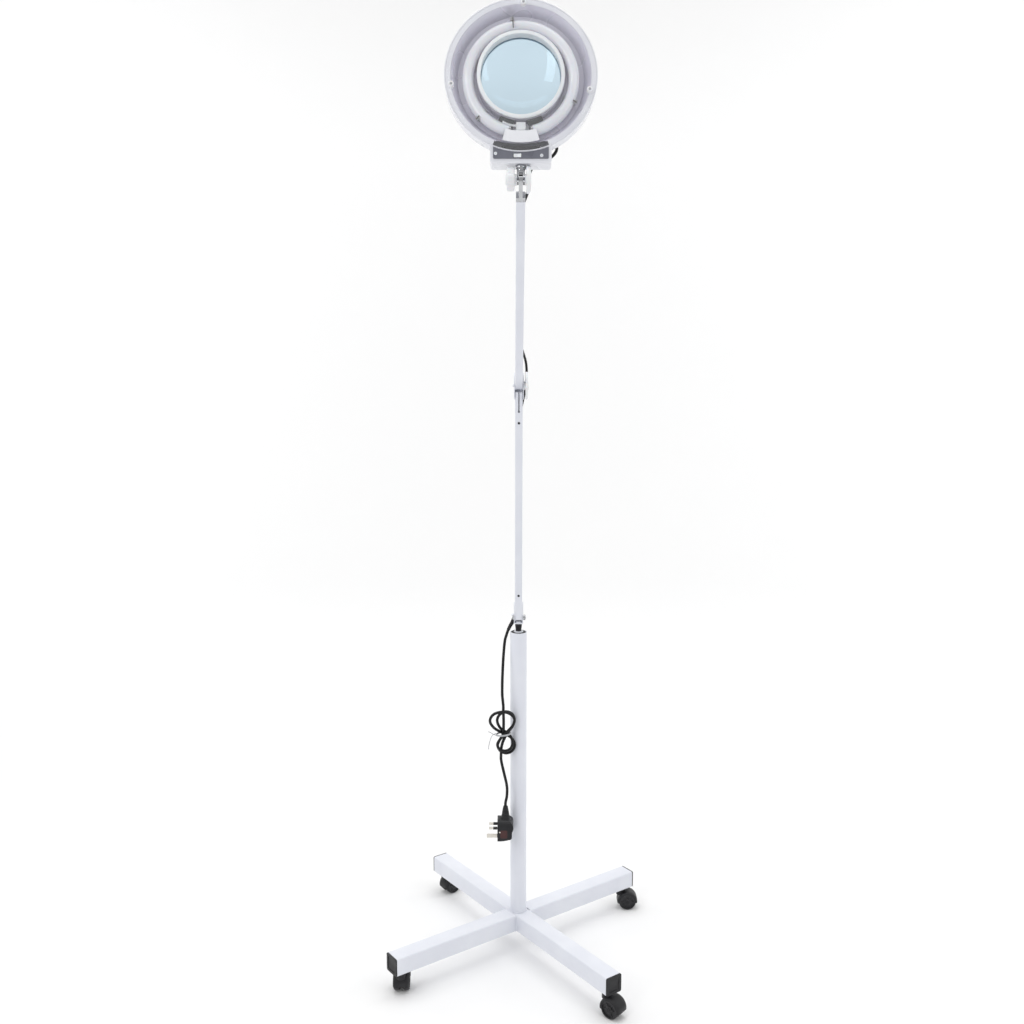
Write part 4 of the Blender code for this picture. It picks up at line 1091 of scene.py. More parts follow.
FENDER_START, FENDER_SWEEP, FENDER_STEPS = -6, 196, 56
fender_angles = [FENDER_START + FENDER_SWEEP * i / FENDER_STEPS for i in range(FENDER_STEPS + 1)]
fender = skinned([round_axle(angle) for angle in fender_angles])
web = arc(HUB, HOOD_R - 0.001, -6, 190, 40) + arc(HUB, 0.012, 200, 340, 12)
boss = turned([(0, 0.034), (0.0095, 0.034), (0.0095, 0.0462), (0.0102, 0.0470), (0.0102, 0.0510),
               (0.0095, 0.0517), (0, 0.0517)], 48)
room = arc(HUB, HOOD_R - 0.0030, 0, 352, 44)
boss = carved(boss, slab(room, WEB_HALF, 0.02, "Y"), slab(room, -0.02, -WEB_HALF, "Y"))
stem = rod(0.0052, 0.046, 0.0798, 32)
axle = [(0, -0.0164), (0.0034, -0.0164), (0.0040, -0.0158), (0.0040, 0.0158), (0.0034, 0.0164), (0, 0.0164)]
axle = moved(facing_y(turned(axle, 40)), (HUB[0], 0, HUB[1]))
hood = joined(fender, slab(web, -WEB_HALF, WEB_HALF, "Y"), boss, stem, axle)
print(f"wheel radius {1000 * WHEEL_R:.1f} mm, trail {1000 * TRAIL:.0f} mm")

# %% The wheels, with ribs from the tree
WIDTH = 0.0115
wheel_profile = [(0.0043, 0.0006), (0.0155, 0.0006), (0.0168, 0.0), (0.0190, 0.0), (WHEEL_R, 0.0008)]
wheel_profile += [(WHEEL_R, 0.0082), (WHEEL_R - 0.0003, 0.0095), (WHEEL_R - 0.0011, 0.0107), (0.0172, WIDTH)]
wheel_profile += [(0.0164, WIDTH), (0.0157, 0.0111), (0.0154, 0.0100), (0.0152, 0.0086), (0.0078, 0.0086)]
wheel_profile += [(0.0075, 0.0104), (0.0068, 0.0110), (0.0046, 0.0110), (0.0043, 0.0106)]
wheel = turned(wheel_profile, 72, ring=True)
rib_sizes = {"Count": 6, "Inner": 0.0074, "Outer": 0.0156, "Width": 0.0013, "Height": 0.0016,
             "Material": nylon}
wheel_ribs = moved(grown(ribs, rib_sizes), (0, 0, 0.0091))
for corner in CORNERS:
    swivel, hub = joint_point("caster_swivel_" + corner), joint_point("wheel_a_spin_" + corner)
    place = upright((swivel.x, swivel.y, 0), atan2(hub.y - swivel.y, hub.x - swivel.x))
    refine("caster_hood_" + corner, hood.copy(), black_plastic, place)
    for side, sign in (("a", -1), ("b", 1)):
        node = f"wheel_{side}_{corner}"
        at_axle = place @ Matrix.Translation((TRAIL, sign * (WEB_HALF + 2 * GAP), WHEEL_R))
        at_axle = at_axle @ Matrix.Rotation(-sign * pi / 2, 4, "X")
        refine(node, wheel.copy(), nylon, at_axle)
        detail(node + "_ribs", wheel_ribs.copy(), nylon, at_axle, node, "caster_wheel")
print("casters:", len(CORNERS), "with", 2 * len(CORNERS), "wheels")

# %% [markdown]
# ## Pole, swivel and bracket
#
# The pole is round tube with a foot plate welded in, which the centre bolt pulls down on the
# cross. A black bush fills its top, and the swivel pin turns in the bush. The pin's white collar,
# the ribbed rubber sleeve above it and the U bracket are all small, but they sit in plain view.
# Turned profiles suit all but the bracket, because a profile carries every step and chamfer.

# %% Pole and bush
POLE_R, FOOT = 0.0175, LEG_HIGH + GAP
tube_inside = POLE_R - 0.0015
pole = turned([(0.0054, FOOT), (POLE_R, FOOT), (POLE_R, POLE_TOP - 0.0006), (POLE_R - 0.0003, POLE_TOP),
               (tube_inside + 0.0003, POLE_TOP), (tube_inside, POLE_TOP - 0.0005),
               (tube_inside, FOOT + 0.006), (0.0054, FOOT + 0.006)], 96, ring=True)
refine("pole", pole, enamel, POLE)
foot_ring = [Vector((*p, FOOT + 0.0007)) for p in arc((0, 0), POLE_R + 0.0003, 0, 357.5, 143)]
detail("weld_pole", bead(foot_ring, 0.0013, 58), enamel, POLE, "base", "white_enamel")
bush_low, bush_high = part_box("pole_bush")
bush = turned([(0.0063, bush_low.z), (0.0157, bush_low.z), (0.0157, bush_high.z - 0.0006),
               (0.0152, bush_high.z), (0.0069, bush_high.z), (0.0063, bush_high.z - 0.0006)], 72, ring=True)
refine("pole_bush", bush, black_plastic, POLE)
print(f"pole {2000 * POLE_R:.0f} mm thick, top at {POLE_TOP:.3f} m")

# %% Swivel pin and its ribbed sleeve
AT_TOP = upright(SWIVEL)
COLLAR = -0.0005 + GAP
NECK_R = 0.0048
FLOOR, PLATE = 0.0185, 0.002
pin_head = FLOOR + PLATE + GAP
pin = turned([(0, -0.036), (0.0052, -0.036), (0.0060, -0.0352), (0.0060, COLLAR), (0.0098, COLLAR),
              (0.0098, COLLAR + 0.0015), (0.0093, COLLAR + 0.0020), (NECK_R, COLLAR + 0.0020),
              (NECK_R, pin_head), (0.0068, pin_head), (0.0068, pin_head + 0.0008),
              (0.0060, pin_head + 0.0020), (0, pin_head + 0.0020)], 72)
refine("swivel_pin", pin, enamel, AT_TOP)
sleeve_low, sleeve_high = COLLAR + 0.002 + GAP, FLOOR - GAP
sleeve_profile = [(NECK_R + GAP, sleeve_low)]
for step in range(5):
    low, wide = sleeve_low + 0.00262 * step, 0.0058 + 0.00032 * step
    sleeve_profile += [(wide, low), (wide + 0.0001, low + 0.0016), (wide - 0.0005, low + 0.0018),
                       (wide - 0.0005, low + 0.0025)]
sleeve_profile += [(0.0072, sleeve_high - 0.0030), (0.0072, sleeve_high), (NECK_R + GAP, sleeve_high)]
refine("tapered_sleeve", turned(sleeve_profile, 64, ring=True), black_plastic, AT_TOP)
print(f"sleeve {1000 * (sleeve_high - sleeve_low):.0f} mm high")

# %% [markdown]
# ## The bracket
#
# The U bracket is pressed sheet: a floor on the pin, two round-ended cheeks and a web behind. The
# ear on the web carries the strain relief. Separate plates joined into one, then bored for the
# pin and the bolt, keep the sharp inside corners that a bent sheet shows at this size.

# %% The U bracket and the arm's lower bolt
CHEEK_IN, CHEEK_OUT, CHEEK_HALF, BOLT_R = 0.0081, 0.0097, 0.0085, 0.003
RISE = LOWER_PIVOT.z - POLE_TOP


def cheeks(low, high):
    """Both cheeks of a bracket, square at the bottom and round at the top."""
    side = [(-CHEEK_HALF, low), (CHEEK_HALF, low)] + arc((0, high - CHEEK_HALF), CHEEK_HALF, 0, 180, 28)
    return [slab(side, a, b, "X") for a, b in ((CHEEK_IN, CHEEK_OUT), (-CHEEK_OUT, -CHEEK_IN))]


def cross_bore(height, radius=BOLT_R + GAP, half=0.03):
    return moved(facing_x(rod(radius, -half, half)), (0, 0, height))


floor = slab(rounded((-CHEEK_OUT, -CHEEK_HALF), (CHEEK_OUT, 0.0116), 0.0012, 3), FLOOR, FLOOR + PLATE)
web = block((-CHEEK_OUT, 0.0100, FLOOR + 0.0004), (CHEEK_OUT, 0.0116, RISE + 0.0025))
ear = slab(rounded((-0.0145, 0.0100), (-0.0025, 0.0225), 0.002, 4), RISE + 0.0005, RISE + 0.0025)
yoke = joined(floor, web, ear, *cheeks(FLOOR, RISE + 0.033))
yoke = carved(yoke, rod(NECK_R + GAP, 0, 0.03), cross_bore(RISE))
refine("yoke", yoke, enamel, AT_TOP, 0.0003)

seat = CHEEK_OUT + GAP
bolt = turned([(0, -seat - 0.0032), (0.0020, -seat - 0.0031), (0.0038, -seat - 0.0026),
               (0.0052, -seat - 0.0016), (0.0058, -seat - 0.0006), (0.0058, -seat), (BOLT_R, -seat),
               (BOLT_R, seat), (0.0058, seat), (0.0058, seat + 0.0034), (0.0050, seat + 0.0044),
               (0.0036, seat + 0.0051), (0.0018, seat + 0.0054), (0, seat + 0.0054)], 48)
refine("lower_pivot_bolt", facing_x(bolt), zinc, LOWER)
print(f"lower bolt {1000 * RISE:.0f} mm above the pole")

# %% [markdown]
# ## The arms
#
# Both arms are square tube whose lower end is cut round about its bolt. Each hides a long tension
# spring that balances the load, which the coil tree winds. The slot near the top of the lower arm
# lets the tube's end spring open over the bracket, and the small dark screws hold the spring.

# %% Arm tubes and springs
ARM = 0.015
LEAD_R = 0.0025


def arm_tube(length, *lead_holes):
    mesh = square_tube(ARM, 0.0012, 0.0017, -ARM, length)
    corner = [(-ARM, 0), (-0.0080, 0)] + arc((0, 0), ARM / 2, 180, 360, 32) + [(0.0080, 0), (ARM, 0)]
    mesh = carved(mesh, slab(corner + [(ARM, -2 * ARM), (-ARM, -2 * ARM)], -ARM, ARM, "X"))
    holes = [moved(facing_y(rod(LEAD_R + 0.0008, 0.003, 0.012)), (0, 0, height)) for height in lead_holes]
    return carved(mesh, cross_bore(0), *holes)


lower_end, upper_end = LOWER_ARM - 0.012, UPPER_ARM - 0.040
slot = joined(block((-0.0011, -ARM, lower_end - 0.039), (0.0011, -0.004, LOWER_ARM)),
              moved(facing_y(rod(0.0020, -ARM, -0.004)), (0, 0, lower_end - 0.039)))
refine("lower_arm_tube", carved(arm_tube(lower_end, 0.4240), slot), enamel, LOWER)
refine("upper_arm_tube", arm_tube(upper_end, 0.0794, 0.4480), enamel, UPPER)
for node, matrix, low, high in (("lower_spring", LOWER, 0.055, 0.330), ("upper_spring", UPPER, 0.115, 0.405)):
    sizes = {"Radius": 0.0040, "Wire Radius": 0.0008, "Pitch": 0.0017, "Length": high - low, "Material": zinc}
    refine(node, moved(grown(coil, sizes), (0, 0, low)), zinc, matrix)
arm_front = Matrix.Translation((0, -ARM / 2, 0)) @ Matrix.Rotation(pi / 2, 4, "X")
arm_screws = screws_on([(0, LOWER_ARM - 0.074, 0), (0, 0.051, 0)], black_plastic, 0.95, arm_front)
detail("arm_screws", arm_screws, black_plastic, LOWER, "lower_arm", "zinc_steel")
print(f"tubes {lower_end:.3f} m and {upper_end:.3f} m past their bolts")

# %% [markdown]
# ## The elbow and the two knobs
#
# The elbow bracket repeats the cheeks of the one below. A hand knob has lobes to grip by. Its
# outline is a circle whose radius waves with a cosine, and rows of that outline at a few heights,
# each a little smaller near the faces, give lobes and round edges at once.

# %% Elbow bracket
BRACKET_HALF = 0.026
low = LOWER_ARM - BRACKET_HALF
back = block((-CHEEK_OUT, CHEEK_HALF - 0.0005, low), (CHEEK_OUT, CHEEK_HALF + 0.0011, low + 0.017))
bracket = carved(joined(back, *cheeks(low, LOWER_ARM + BRACKET_HALF)), cross_bore(LOWER_ARM))
refine("elbow_bracket", bracket, enamel, LOWER, 0.0003)
print("elbow bracket:", len(bracket.polygons), "faces")


# %% Lobed knobs
LOBE_STEPS = 20  # points on each lobe


def lobed_knob(radius, lobes, fluting, seat, top, stud_end, levels):
    """A knob along +X. Levels are (height, how much smaller the outline is there)."""
    rows = []
    for height, shrink in levels:
        row = []
        for i in range(lobes * LOBE_STEPS):
            angle = 2 * pi * i / (lobes * LOBE_STEPS)
            reach = (radius - shrink) * (1 - fluting + fluting * cos(lobes * angle))
            row.append((height, reach * cos(angle), reach * sin(angle)))
        rows.append(row)
    hub = turned([(0, seat), (0.0085, seat), (0.0085, top - 0.0008), (0.0079, top), (0.0060, top),
                  (0.0056, top - 0.0006), (0, top - 0.0006)], 64)
    return joined(skinned(rows), facing_x(hub), facing_x(rod(BOLT_R, stud_end, seat + 0.004)))


at_elbow = LOWER @ Matrix.Translation((0, 0, LOWER_ARM))
thin = [(seat + 0.0030, 0.0012), (seat + 0.0034, 0.0004), (seat + 0.0041, 0.0), (seat + 0.0062, 0.0)]
thin += [(seat + 0.0070, 0.0005), (seat + 0.0075, 0.0015)]
knob = lobed_knob(0.0275, 8, 0.04, seat, seat + 0.009, -CHEEK_OUT - 0.0025, thin)
refine("elbow_knob", knob, white_plastic, at_elbow)
deep = [(0.0096, 0.0030), (0.0100, 0.0012), (0.0110, 0.0002), (0.0122, 0.0), (0.0196, 0.0), (0.0208, 0.0003)]
deep += [(0.0216, 0.0012), (0.0221, 0.0030)]
knob = moved(lobed_knob(0.0195, 5, 0.11, 0.0066, 0.0236, -0.0092, deep), turn=pi, axis="Z")
refine("hand_knob", knob, white_plastic, HEAD)
print("knobs: elbow at", tuple(round(v, 3) for v in ELBOW))

# %% [markdown]
# ## The head joint
#
# A chrome tongue is plugged into the arm, and a chrome fork straddles it with a thin gap on each
# side. The fork's collar flares up to the head, and a headed stem lets the head turn on it. Plates
# and turned shapes are joined, so that one small bevel can run round every edge of the casting.

# %% Tongue, fork and cap
tip = UPPER @ Matrix.Translation((0, 0, UPPER_ARM))
blade = slab(arc((0, 0), 0.0075, 0, 180, 32) + [(-0.0075, -0.034), (0.0075, -0.034)], -0.0031, 0.0031, "X")
collar = slab(rounded((-ARM / 2,) * 2, (ARM / 2,) * 2, 0.0016, 4), -0.0397, -0.031)
plug_half = ARM / 2 - 0.0012 - GAP
grip = slab(rounded((-plug_half,) * 2, (plug_half,) * 2, 0.0006, 2), -0.062, -0.039)
refine("arm_tongue", carved(joined(collar, blade, grip), cross_bore(0)), chrome, tip, 0.0003)

ear_side = [(0.0068, 0.0120), (-0.0068, 0.0120)] + arc((0, -0.001), 0.0068, 180, 360, 32)
ears = [slab(ear_side, 0.0034, 0.0062, "X"), slab(ear_side, -0.0062, -0.0034, "X")]
bridge = slab(rounded((-0.0062, -0.0068), (0.0062, 0.0068), 0.001, 3), 0.0095, 0.0130)
HEAD_SEAT = HEAD_RISE - 0.136
flare = turned([(0, 0.0125), (0.0062, 0.0125), (0.0063, 0.0140), (0.0066, 0.0152), (0.0072, 0.0165),
                (0.0079, 0.0178), (0.0082, 0.0190), (0.0082, HEAD_SEAT - GAP), (0, HEAD_SEAT - GAP)], 64)
stem_top = HEAD_SEAT + 0.002 + GAP
stem = turned([(0, HEAD_SEAT - 0.002), (0.004, HEAD_SEAT - 0.002), (0.004, stem_top), (0.008, stem_top),
               (0.008, stem_top + 0.0030), (0.0073, stem_top + 0.0037), (0, stem_top + 0.0037)], 48)
refine("tilt_fork", carved(joined(*ears, bridge, flare, stem), cross_bore(0)), chrome, HEAD, 0.0003)
cap = [(0, 0.0096), (0.0033, 0.0096), (0.0033, 0.0065), (0.0085, 0.0065), (0.0085, 0.0088), (0.0202, 0.0088)]
cap += [(0.0208, 0.0094), (0.0208, 0.0122), (0.0203, 0.0135), (0.0190, 0.0149), (0.0165, 0.0157),
        (0.0080, 0.0163)]
refine("joint_cap", facing_x(turned(cap + [(0, 0.0165)], 96)), white_plastic, HEAD)
print("fork, knobs and cap at", tuple(round(v, 3) for v in TILT))

# %% [markdown]
# ## The head
#
# Everything in the head is built in the lens's own frame, with Y through the lens and -Y out of
# its front. `round_lens` turns a profile of (radius, depth) about that axis. The shell is a round
# trough with a box for a neck, and the reflector sits in it like the floor of the trough.

# %% Shell
HEAD_R = 0.1185
FRONT, BACK = -0.014, 0.021


def round_lens(profile, sides=160):
    return facing_y(turned(profile, sides, ring=True))


body = [(HEAD_R - 0.0004, FRONT), (HEAD_R, FRONT + 0.0004), (HEAD_R, 0.0105), (HEAD_R - 0.0005, 0.0135)]
body += [(HEAD_R - 0.0024, 0.0170), (HEAD_R - 0.0055, 0.0196), (HEAD_R - 0.0095, BACK), (0.0650, BACK)]
body += [(0.0640, BACK - 0.0010), (0.0640, 0.0062), (0.0608, 0.0062), (0.0608, 0.0040), (0.0640, 0.0040)]
body += [(0.0640, FRONT)]
hollow = [(0.066, -0.03), (0.1165, -0.03), (0.1165, 0.011), (0.1137, 0.0165), (0.108, 0.019), (0.066, 0.019)]
neck_outline = [(-0.0475, -0.100), (-0.0475, -0.132)] + arc((-0.0435, -0.132), 0.004, 180, 270, 6)
neck_outline += arc((0.0435, -0.132), 0.004, 270, 360, 6) + [(0.0475, -0.100)]
neck = slab(neck_outline, FRONT + 0.0005, BACK - 0.0004, "Y")
chamber = block((-0.0455, FRONT + 0.0025, -0.134), (0.0455, BACK - 0.002, -0.103))
window = slab(rounded((-0.041, -0.1285), (0.041, -0.119), 0.002), -0.03, 0, "Y")
lead_hole = moved(facing_y(rod(LEAD_R + 0.0006, 0.01, 0.03)), (0.044, 0, -0.072))
shell = joined(round_lens(body), neck)
shell = carved(shell, round_lens(hollow), chamber, window, rod(0.0044, -0.15, -0.12), lead_hole)
refine("rear_shell", shell, shell_plastic, LENS)
print(f"shell {2000 * HEAD_R:.0f} mm across, {1000 * (BACK - FRONT):.0f} mm deep")

# %% [markdown]
# ## Reflector
#
# The reflector is a spun trough that throws the lamp's light forward. Beside the connector it has
# two slots, and black cards behind them and near the front are painted shade, standing for the dark
# gap seen through them. A thin flat lip joins its rim to the shell. Flat rings with two angles cut
# the slots and make the cards and the lip.

# %% Reflector, slots, painted-shade cards and lip
def sector(inner, outer, start, end, low, high, steps=24):
    """Part of a ring about the lens, between two angles in degrees."""
    return slab(arc((0, 0), inner, start, end, steps) + arc((0, 0), outer, end, start, steps), low, high, "Y")


trough = [(0.0671, -0.0100), (0.0671, 0.0087), (0.0679, 0.0095), (0.0990, 0.0095), (0.0999, 0.0088)]
trough += [(0.1095, -0.0126), (0.1093, -0.0130), (0.1083, -0.0130), (0.1079, -0.0126), (0.0990, 0.0076)]
trough += [(0.0984, 0.0083), (0.0690, 0.0083), (0.0683, 0.0076), (0.0683, -0.0100)]
vent = block((-0.038, -0.02, -0.118), (0.038, 0.02, -0.1005))
slots = [sector(0.0692, 0.0785, start, start + 19, 0.0, 0.02) for start in (-82, -117)]
refine("reflector", carved(round_lens(trough), vent, *slots), satin_silver, LENS)
# The black cards are painted shade: dark sheets behind the slots and near the front that stand for the dark
# gap there.
cards = [sector(0.0680, 0.0970, -122, -58, 0.0102, 0.0110)]
cards += [sector(0.0688, 0.0768, start, start + 19, -0.0092, -0.0086) for start in (-82, -117)]
detail("insulating_card", gathered(*cards), painted_shade_black, LENS, "head", "black_plastic")
lip = sector(0.1090, 0.1163, -68, 248, -0.0137, -0.0131, 160)
detail("reflector_lip", lip, shell_plastic, LENS, "head", "shell_plastic")
print("reflector: slots", len(slots), "and cards", len(cards))

# %% [markdown]
# ## Ring lamp
#
# The lamp is a glass tube bent round into most of a circle, with metal caps on its ends and a
# four-pin connector bridging the gap. A circle carried along an arc makes the tube and the caps.
# Two thin white wires leave the connector, twisted, and that twist is a formula.

# %% Ring lamp with its end caps, connector and wires
RING_R, LAMP_R, LAMP_Y = 0.0819, 0.009, -0.003
SAG = 0.003  # the tube rests low in its clips


def ring_tube(radius, start, end, steps, sides=40):
    route = [Vector((x, LAMP_Y, z - SAG)) for x, z in arc((0, 0), RING_R, start, end, steps)]
    return tube(route, radius, sides)


refine("ring_lamp", ring_tube(LAMP_R, -77.5, 257.5, 150), tube_white, LENS)
ends = gathered(ring_tube(LAMP_R + 0.0003, -79, -76.5, 4), ring_tube(LAMP_R + 0.0003, 256.5, 259, 4))
detail("lamp_end_caps", ends, zinc, LENS, "head", "zinc_steel", 0.0003)
box = joined(block((-0.0130, -0.0030, -0.0880), (0.0130, 0.0040, -0.0720)),
             block((-0.0072, -0.0120, -0.0880), (0.0072, 0.0, -0.0720)))
groove = block((-0.0135, -0.0122, -0.0845), (0.0135, -0.0114, -0.0837))
refine("lamp_connector", carved(box, groove), white_plastic, LENS, 0.0008)
WIRE_R, WIRE_APART, WIRE_TURNS, WIRE_STEPS = 0.0009, 0.0010, 3.5, 44
wires = []
for side in range(2):
    wire = []
    for i in range(WIRE_STEPS + 1):
        share = i / WIRE_STEPS
        middle = Vector((-0.0070 - 0.021 * share, -0.0112 + 0.0010 * share, -0.0775 + 0.0065 * share**2))
        twist = 2 * pi * WIRE_TURNS * share + pi * side
        wire.append(middle + Vector((0, WIRE_APART * cos(twist), WIRE_APART * sin(twist))))
    wires.append(tube(wire, WIRE_R, 12))
detail("lamp_wires", gathered(*wires), white_plastic, LENS, "head", "white_plastic")
print(f"lamp tube {2000 * LAMP_R:.0f} mm thick on a {2000 * RING_R:.0f} mm ring")

# %% [markdown]
# ## Spring clips
#
# Three clips of bent strip hold the lamp. A clip is an open ring with turned-out lips, a foot on
# the reflector and a tongue, and a dark wire spring lies over each. One clip is modelled on its
# own, and a matrix per clip carries a copy round the lens to its angle.

# %% Spring clips
CLIP_ANGLES = {"clip_top": 98.5, "clip_left": 223, "clip_right": 336}
hook = arc((0, 0), LAMP_R + 0.0007, -35, 215, 48) + arc((0, 0), LAMP_R + 0.0018, 215, -35, 48)
lips = [slab(rounded((x - 0.0006, -0.0074), (x + 0.0006, -0.0050), 0.0005, 3), -0.003, 0.003, "Z")
        for x in (-0.0086, 0.0086)]
foot = slab([(-0.003, 0.0102), (0.003, 0.0102), (0.003, 0.0110), (-0.003, 0.0110)], -0.003, 0.003, "Z")
tongue = slab(rounded((0.0082, -0.0030), (0.0128, 0.0030), 0.001, 3), -0.0080, -0.0072, "Y")
clip = joined(slab(hook, -0.003, 0.003, "Z"), foot, tongue, *lips)
for node, angle in CLIP_ANGLES.items():
    across = Matrix.Translation((0, 0, -SAG)) @ Matrix.Rotation(-radians(angle), 4, "Y")
    across = across @ Matrix.Translation((RING_R, LAMP_Y, 0))
    refine(node, clip.copy(), zinc, LENS @ across, 0.0002)
    wire = [(-0.0060, -0.0112, 0.0004), (0.0000, -0.0129, 0.0), (0.0070, -0.0105, -0.0008),
            (0.0125, -0.0070, -0.0016)]
    if node != "clip_top":
        wire = [(0.0060, -0.0104, 0.0), (0.0085, -0.0090, 0.0), (0.0125, -0.0075, 0.0)]
    wire = tube(smooth_route(wire, 0.0008), 0.0009, 10)
    detail(node + "_wire", wire, spring_steel, LENS @ across, "head", "zinc_steel")
print("clips at", tuple(CLIP_ANGLES.values()), "degrees")

# %% [markdown]
# ## Cover and lens
#
# The cover is one turned section of thin clear plastic, held by three screws on white bosses. The
# lens is two shallow spherical faces with a thin edge: the radius of each face follows from the
# lens's own radius and its bulge, so it refracts as a real one does. A ring holds it in the shell.

# %% Cover, bosses and screws
cover = [(HEAD_R, FRONT - GAP), (HEAD_R, -0.0196), (0.1181, -0.0202), (0.1126, -0.0237), (0.1118, -0.0240)]
cover += [(0.0754, -0.0240), (0.0746, -0.0236), (0.0686, -0.0175), (0.0701, -0.0175), (0.0757, -0.0225)]
cover += [(0.1112, -0.0225), (0.1168, -0.0192), (0.1168, FRONT - GAP)]
refine("clear_cover", round_lens(cover), clear_plastic, LENS)
BOSS_RING = 0.1085
spots = [arc((0, 0), BOSS_RING, angle, angle, 1)[0] for angle in (88, 189, 346.5)]
bosses = [moved(facing_y(rod(0.0042, -0.0243, -0.0134, 40)), (x, 0, z)) for x, z in spots]
detail("cover_bosses", gathered(*bosses), white_plastic, LENS, "head", "white_plastic", 0.0005)
to_front = Matrix.Rotation(pi / 2, 4, "X")
cover_screws = screws_on([(x, z, 0) for x, z in spots], zinc, 0.8,
                         Matrix.Translation((0, -0.0243, 0)) @ to_front)
detail("cover_screws", cover_screws, zinc, LENS, "head", "zinc_steel")
print("cover screws:", len(spots))

# %% Lens and its ring
LENS_R, CROWN, EDGE, LENS_STEPS = 0.0635, 0.007, 0.002, 24
bow = (LENS_R**2 + CROWN**2) / (2 * CROWN)
face = []
for i in range(LENS_STEPS + 1):
    radius = LENS_R * i / LENS_STEPS
    face.append((radius, EDGE + CROWN - (bow - (bow**2 - radius**2) ** 0.5)))
lens = turned([(r, -y) for r, y in face] + face[::-1], 160)
refine("lens", moved(facing_y(lens), (0, 0.001, 0)), lens_glass, LENS)
ring = [(0.0622, -0.0180), (0.0627, -0.0185), (0.0663, -0.0185), (0.0675, -0.0178), (0.0680, -0.0168)]
ring += [(0.0680, -0.0143), (0.0637, -0.0143), (0.0637, -0.0018), (0.0622, -0.0018)]
refine("lens_ring", round_lens(ring), white_plastic, LENS)
print(f"lens {2000 * LENS_R:.0f} mm across and {2000 * (CROWN + EDGE):.0f} mm thick")

# %% [markdown]
# ## The neck
#
# The neck box hides the ballast behind a dark painted plate. The plate follows the round shell
# above it, so its top is an arc about the lens, and it is pierced for the rocker switch. The
# label is a plain piece of paper laid over the connector, cut as part of a flat ring.

# %% Ballast, plate, screws, rocker and label
ballast = block((-0.030, -0.0035, -0.1285), (0.030, 0.0180, -0.1062))
straps = [block((x - 0.004, -0.0038, -0.1287), (x + 0.004, 0.0183, -0.1060)) for x in (-0.022, 0.022)]
refine("ballast", joined(ballast, *straps), black_plastic, LENS, 0.0006)
plate_front = FRONT + 0.0005 - GAP
plate_top = arc((0, 0), HEAD_R + 0.0006, -90 + 21.06, -90 - 21.06, 40)
plate_outline = [(-0.0428, -0.1282), (-0.0416, -0.1294), (0.0416, -0.1294), (0.0428, -0.1282)] + plate_top
hole = block((-0.0119, -0.03, -0.12785), (0.0013, 0.03, -0.12175))
plate = carved(slab(plate_outline, plate_front - 0.0015, plate_front, "Y"), hole)
refine("neck_plate", plate, plate_grey, LENS, 0.0003)
plate_screws = screws_on([(-0.0390, -0.1217, 0), (0.0320, -0.1248, 0)], white_plastic, 1.0,
                         Matrix.Translation((0, plate_front - 0.0015, 0)) @ to_front)
detail("plate_screws", plate_screws, white_plastic, LENS, "head", "white_plastic")
rocker = [(-0.0062, 0.0), (-0.0055, -0.0022), (-0.0030, -0.0014), (0, -0.0010), (0.0030, -0.0014)]
rocker += [(0.0055, -0.0022), (0.0062, 0.0), (0.0037, 0.0062), (-0.0037, 0.0062)]
rocker = moved(slab(rocker, -0.00275, 0.00275, "Z"), turn=radians(-8))
rocker_place = LENS @ Matrix.Translation((-0.0053, plate_front - 0.0007, -0.1248))
refine("rocker_switch", rocker, white_plastic, rocker_place, 0.0003)
label = sector(0.0860, 0.1040, -106, -74, -0.0137, -0.0132)
detail("label", label, paper, LENS, "head", "white_plastic")
print("neck plate:", len(plate.polygons), "faces")

# %% [markdown]
# ## Leads that cross a joint
#
# The lamp's lead comes out of an arm before a joint and goes in again after it. The points are
# given in the arm's frame or the head's, and each lead is baked in place on no body.

# %% Lamp leads
ELBOW_LEAD = [
    (0.0000, -0.0499, 0.5541), (0.0000, -0.0447, 0.5591), (0.0020, -0.0300, 0.5690),
    (0.0045, -0.0060, 0.5680), (0.0085, 0.0160, 0.5540), (0.0140, 0.0290, 0.5330),
    (0.0155, 0.0330, 0.5100), (0.0130, 0.0330, 0.4800), (0.0060, 0.0240, 0.4480),
    (0.0000, 0.0125, 0.4250), (0.0000, 0.0068, 0.4240),
]
LEAD_BY_ARM = [
    (0.0000, 0.0871, -0.0411), (0.0000, 0.0903, -0.0353), (0.0010, 0.0900, -0.0235),
    (0.0060, 0.0790, -0.0120), (0.0105, 0.0620, -0.0045), (0.0125, 0.0480, 0.0012),
]
LEAD_BY_HEAD = [
    (0.0126, 0.0474, 0.0014), (0.0132, 0.0430, 0.0032), (0.0140, 0.0380, 0.0130), (0.0155, 0.0360, 0.0245),
    (0.0225, 0.0345, 0.0330), (0.0340, 0.0335, 0.0390), (0.0480, 0.0330, 0.0455), (0.0570, 0.0330, 0.0580),
    (0.0525, 0.0345, 0.0755), (0.0440, 0.0216, 0.0860),
]


def lead(node, matrix, points):
    """A lead along points given in one frame, baked in place and attached to no body."""
    route = smooth_route([matrix @ Vector(point) for point in points], 0.0025)
    piece = shaped("fine_" + node, tube(route, LEAD_R, 20), jacket, Matrix())
    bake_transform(piece)
    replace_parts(piece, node)
    return length_of(route)


lengths = [lead("elbow_lead", LOWER, ELBOW_LEAD[::-1]),
           lead("head_lead_lower", HEAD, LEAD_BY_ARM),
           lead("head_lead_upper", HEAD, LEAD_BY_HEAD)]
bpy.data.objects.remove(screw)
print("leads:", ", ".join(f"{value:.3f} m" for value in lengths))

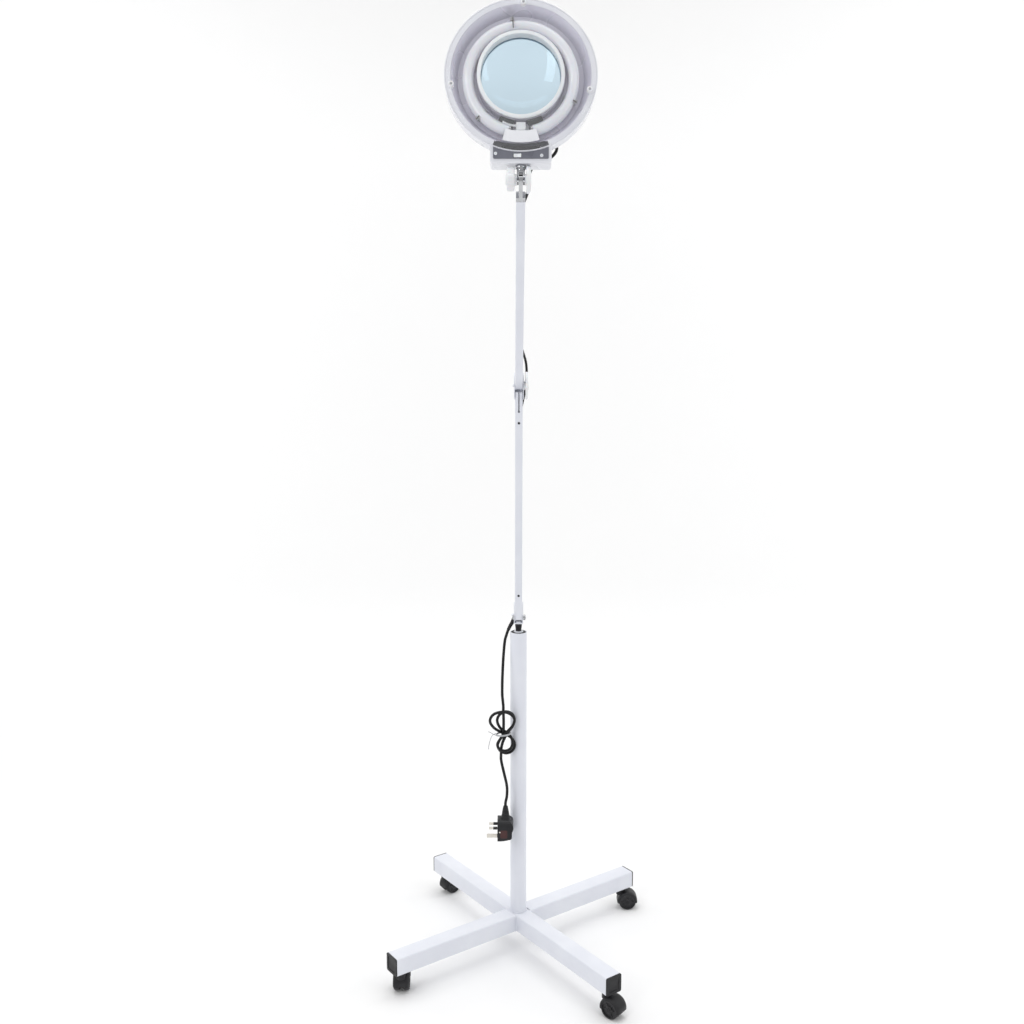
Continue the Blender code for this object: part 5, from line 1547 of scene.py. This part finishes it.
# %% [markdown]
# ## Floor, room and light
#
# The lamp stands on a plain white sweep that curves up into a wall far behind it, so no line
# shows. A wide panel overhead lights the floor and every top face, and leaves upright faces a tone
# darker, which is what makes white paint read against white. Two tall panels give the lens, the
# tube and the chrome their streaks, and two more light the wall only.

# %% Sweep
paper_white = bpy.data.materials.new("white_sweep")
paper_white.use_nodes = True
paper_shader = paper_white.node_tree.nodes["Principled BSDF"]
paper_shader.inputs["Base Color"].default_value = (0.92, 0.92, 0.92, 1)
paper_shader.inputs["Roughness"].default_value = 0.9
top_side = [(-7, 0), (3.5, 0)] + arc((3.5, 2.5), 2.5, -85, 0, 24) + [(6, 9)]
sweep_mesh = slab(top_side + [(6.2, 9), (6.2, -0.3), (-7, -0.3)], -10, 10, "X")
moved(sweep_mesh, (0, 0, -0.0002))
sweep_mesh.materials.append(paper_white)
sweep_mesh.shade_smooth()
sweep_mesh.set_sharp_from_angle(angle=radians(40))
sweep = bpy.data.objects.new("sweep", sweep_mesh)
bpy.context.scene.collection.objects.link(sweep)
sweep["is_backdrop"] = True
print("sweep", tuple(round(side, 1) for side in sweep.dimensions), "m")


# %% Lights
def panel(name, place, aim, width, height, power):
    """A soft panel that faces a point."""
    light = bpy.data.lights.new(name, "AREA")
    light.shape, light.size, light.size_y, light.energy = "RECTANGLE", width, height, power
    item = bpy.data.objects.new(name, light)
    item.location = place
    item.rotation_euler = (Vector(aim) - Vector(place)).to_track_quat("-Z", "Y").to_euler()
    bpy.context.scene.collection.objects.link(item)


panel("top_panel", (0, 0.2, 4.6), (0, 0.2, 0), 4.0, 4.0, 85)
panel("left_panel", (-1.45, -2.10, 2.25), (0, -0.39, 1.74), 0.60, 1.60, 14)
panel("right_panel", (1.95, -1.80, 2.25), (0, -0.39, 1.74), 0.50, 1.60, 8)
for side in (-1, 1):
    panel("rim_panel", (side * 2.4, -0.5, 1.7), (0, -0.2, 1.4), 0.30, 1.6, 5)
    panel("wall_panel", (side * 4.5, 2.2, 3.0), (side * 1.0, 6, 2.4), 1.0, 4.0, 80)
world = bpy.data.worlds.new("white_room")
bpy.context.scene.world = world
world.use_nodes = True
world.node_tree.nodes["Background"].inputs["Color"].default_value = (1, 1, 1, 1)
world.node_tree.nodes["Background"].inputs["Strength"].default_value = 0.55
bpy.context.scene.view_settings.view_transform = "Standard"
print("lights:", len(bpy.data.lights))

# %% [markdown]
# ## Sizes, and the last step
#
# The finer parts must not change the size of the whole. The box round everything is measured once
# more and printed beside the box of the plain parts, so the two can be compared.

# %% Measure and finish
fine_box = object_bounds()
sizes = {"frame": [list(corner) for corner in cad_box], "scene": [list(corner) for corner in fine_box]}
for before, after in zip(cad_box, fine_box):
    print("box corner", tuple(round(v, 4) for v in before), "->", tuple(round(v, 4) for v in after))
meshes = [item.data for item in bpy.context.scene.objects if item.type == "MESH"]
print("triangles:", sum(len(face.vertices) - 2 for mesh in meshes for face in mesh.polygons))
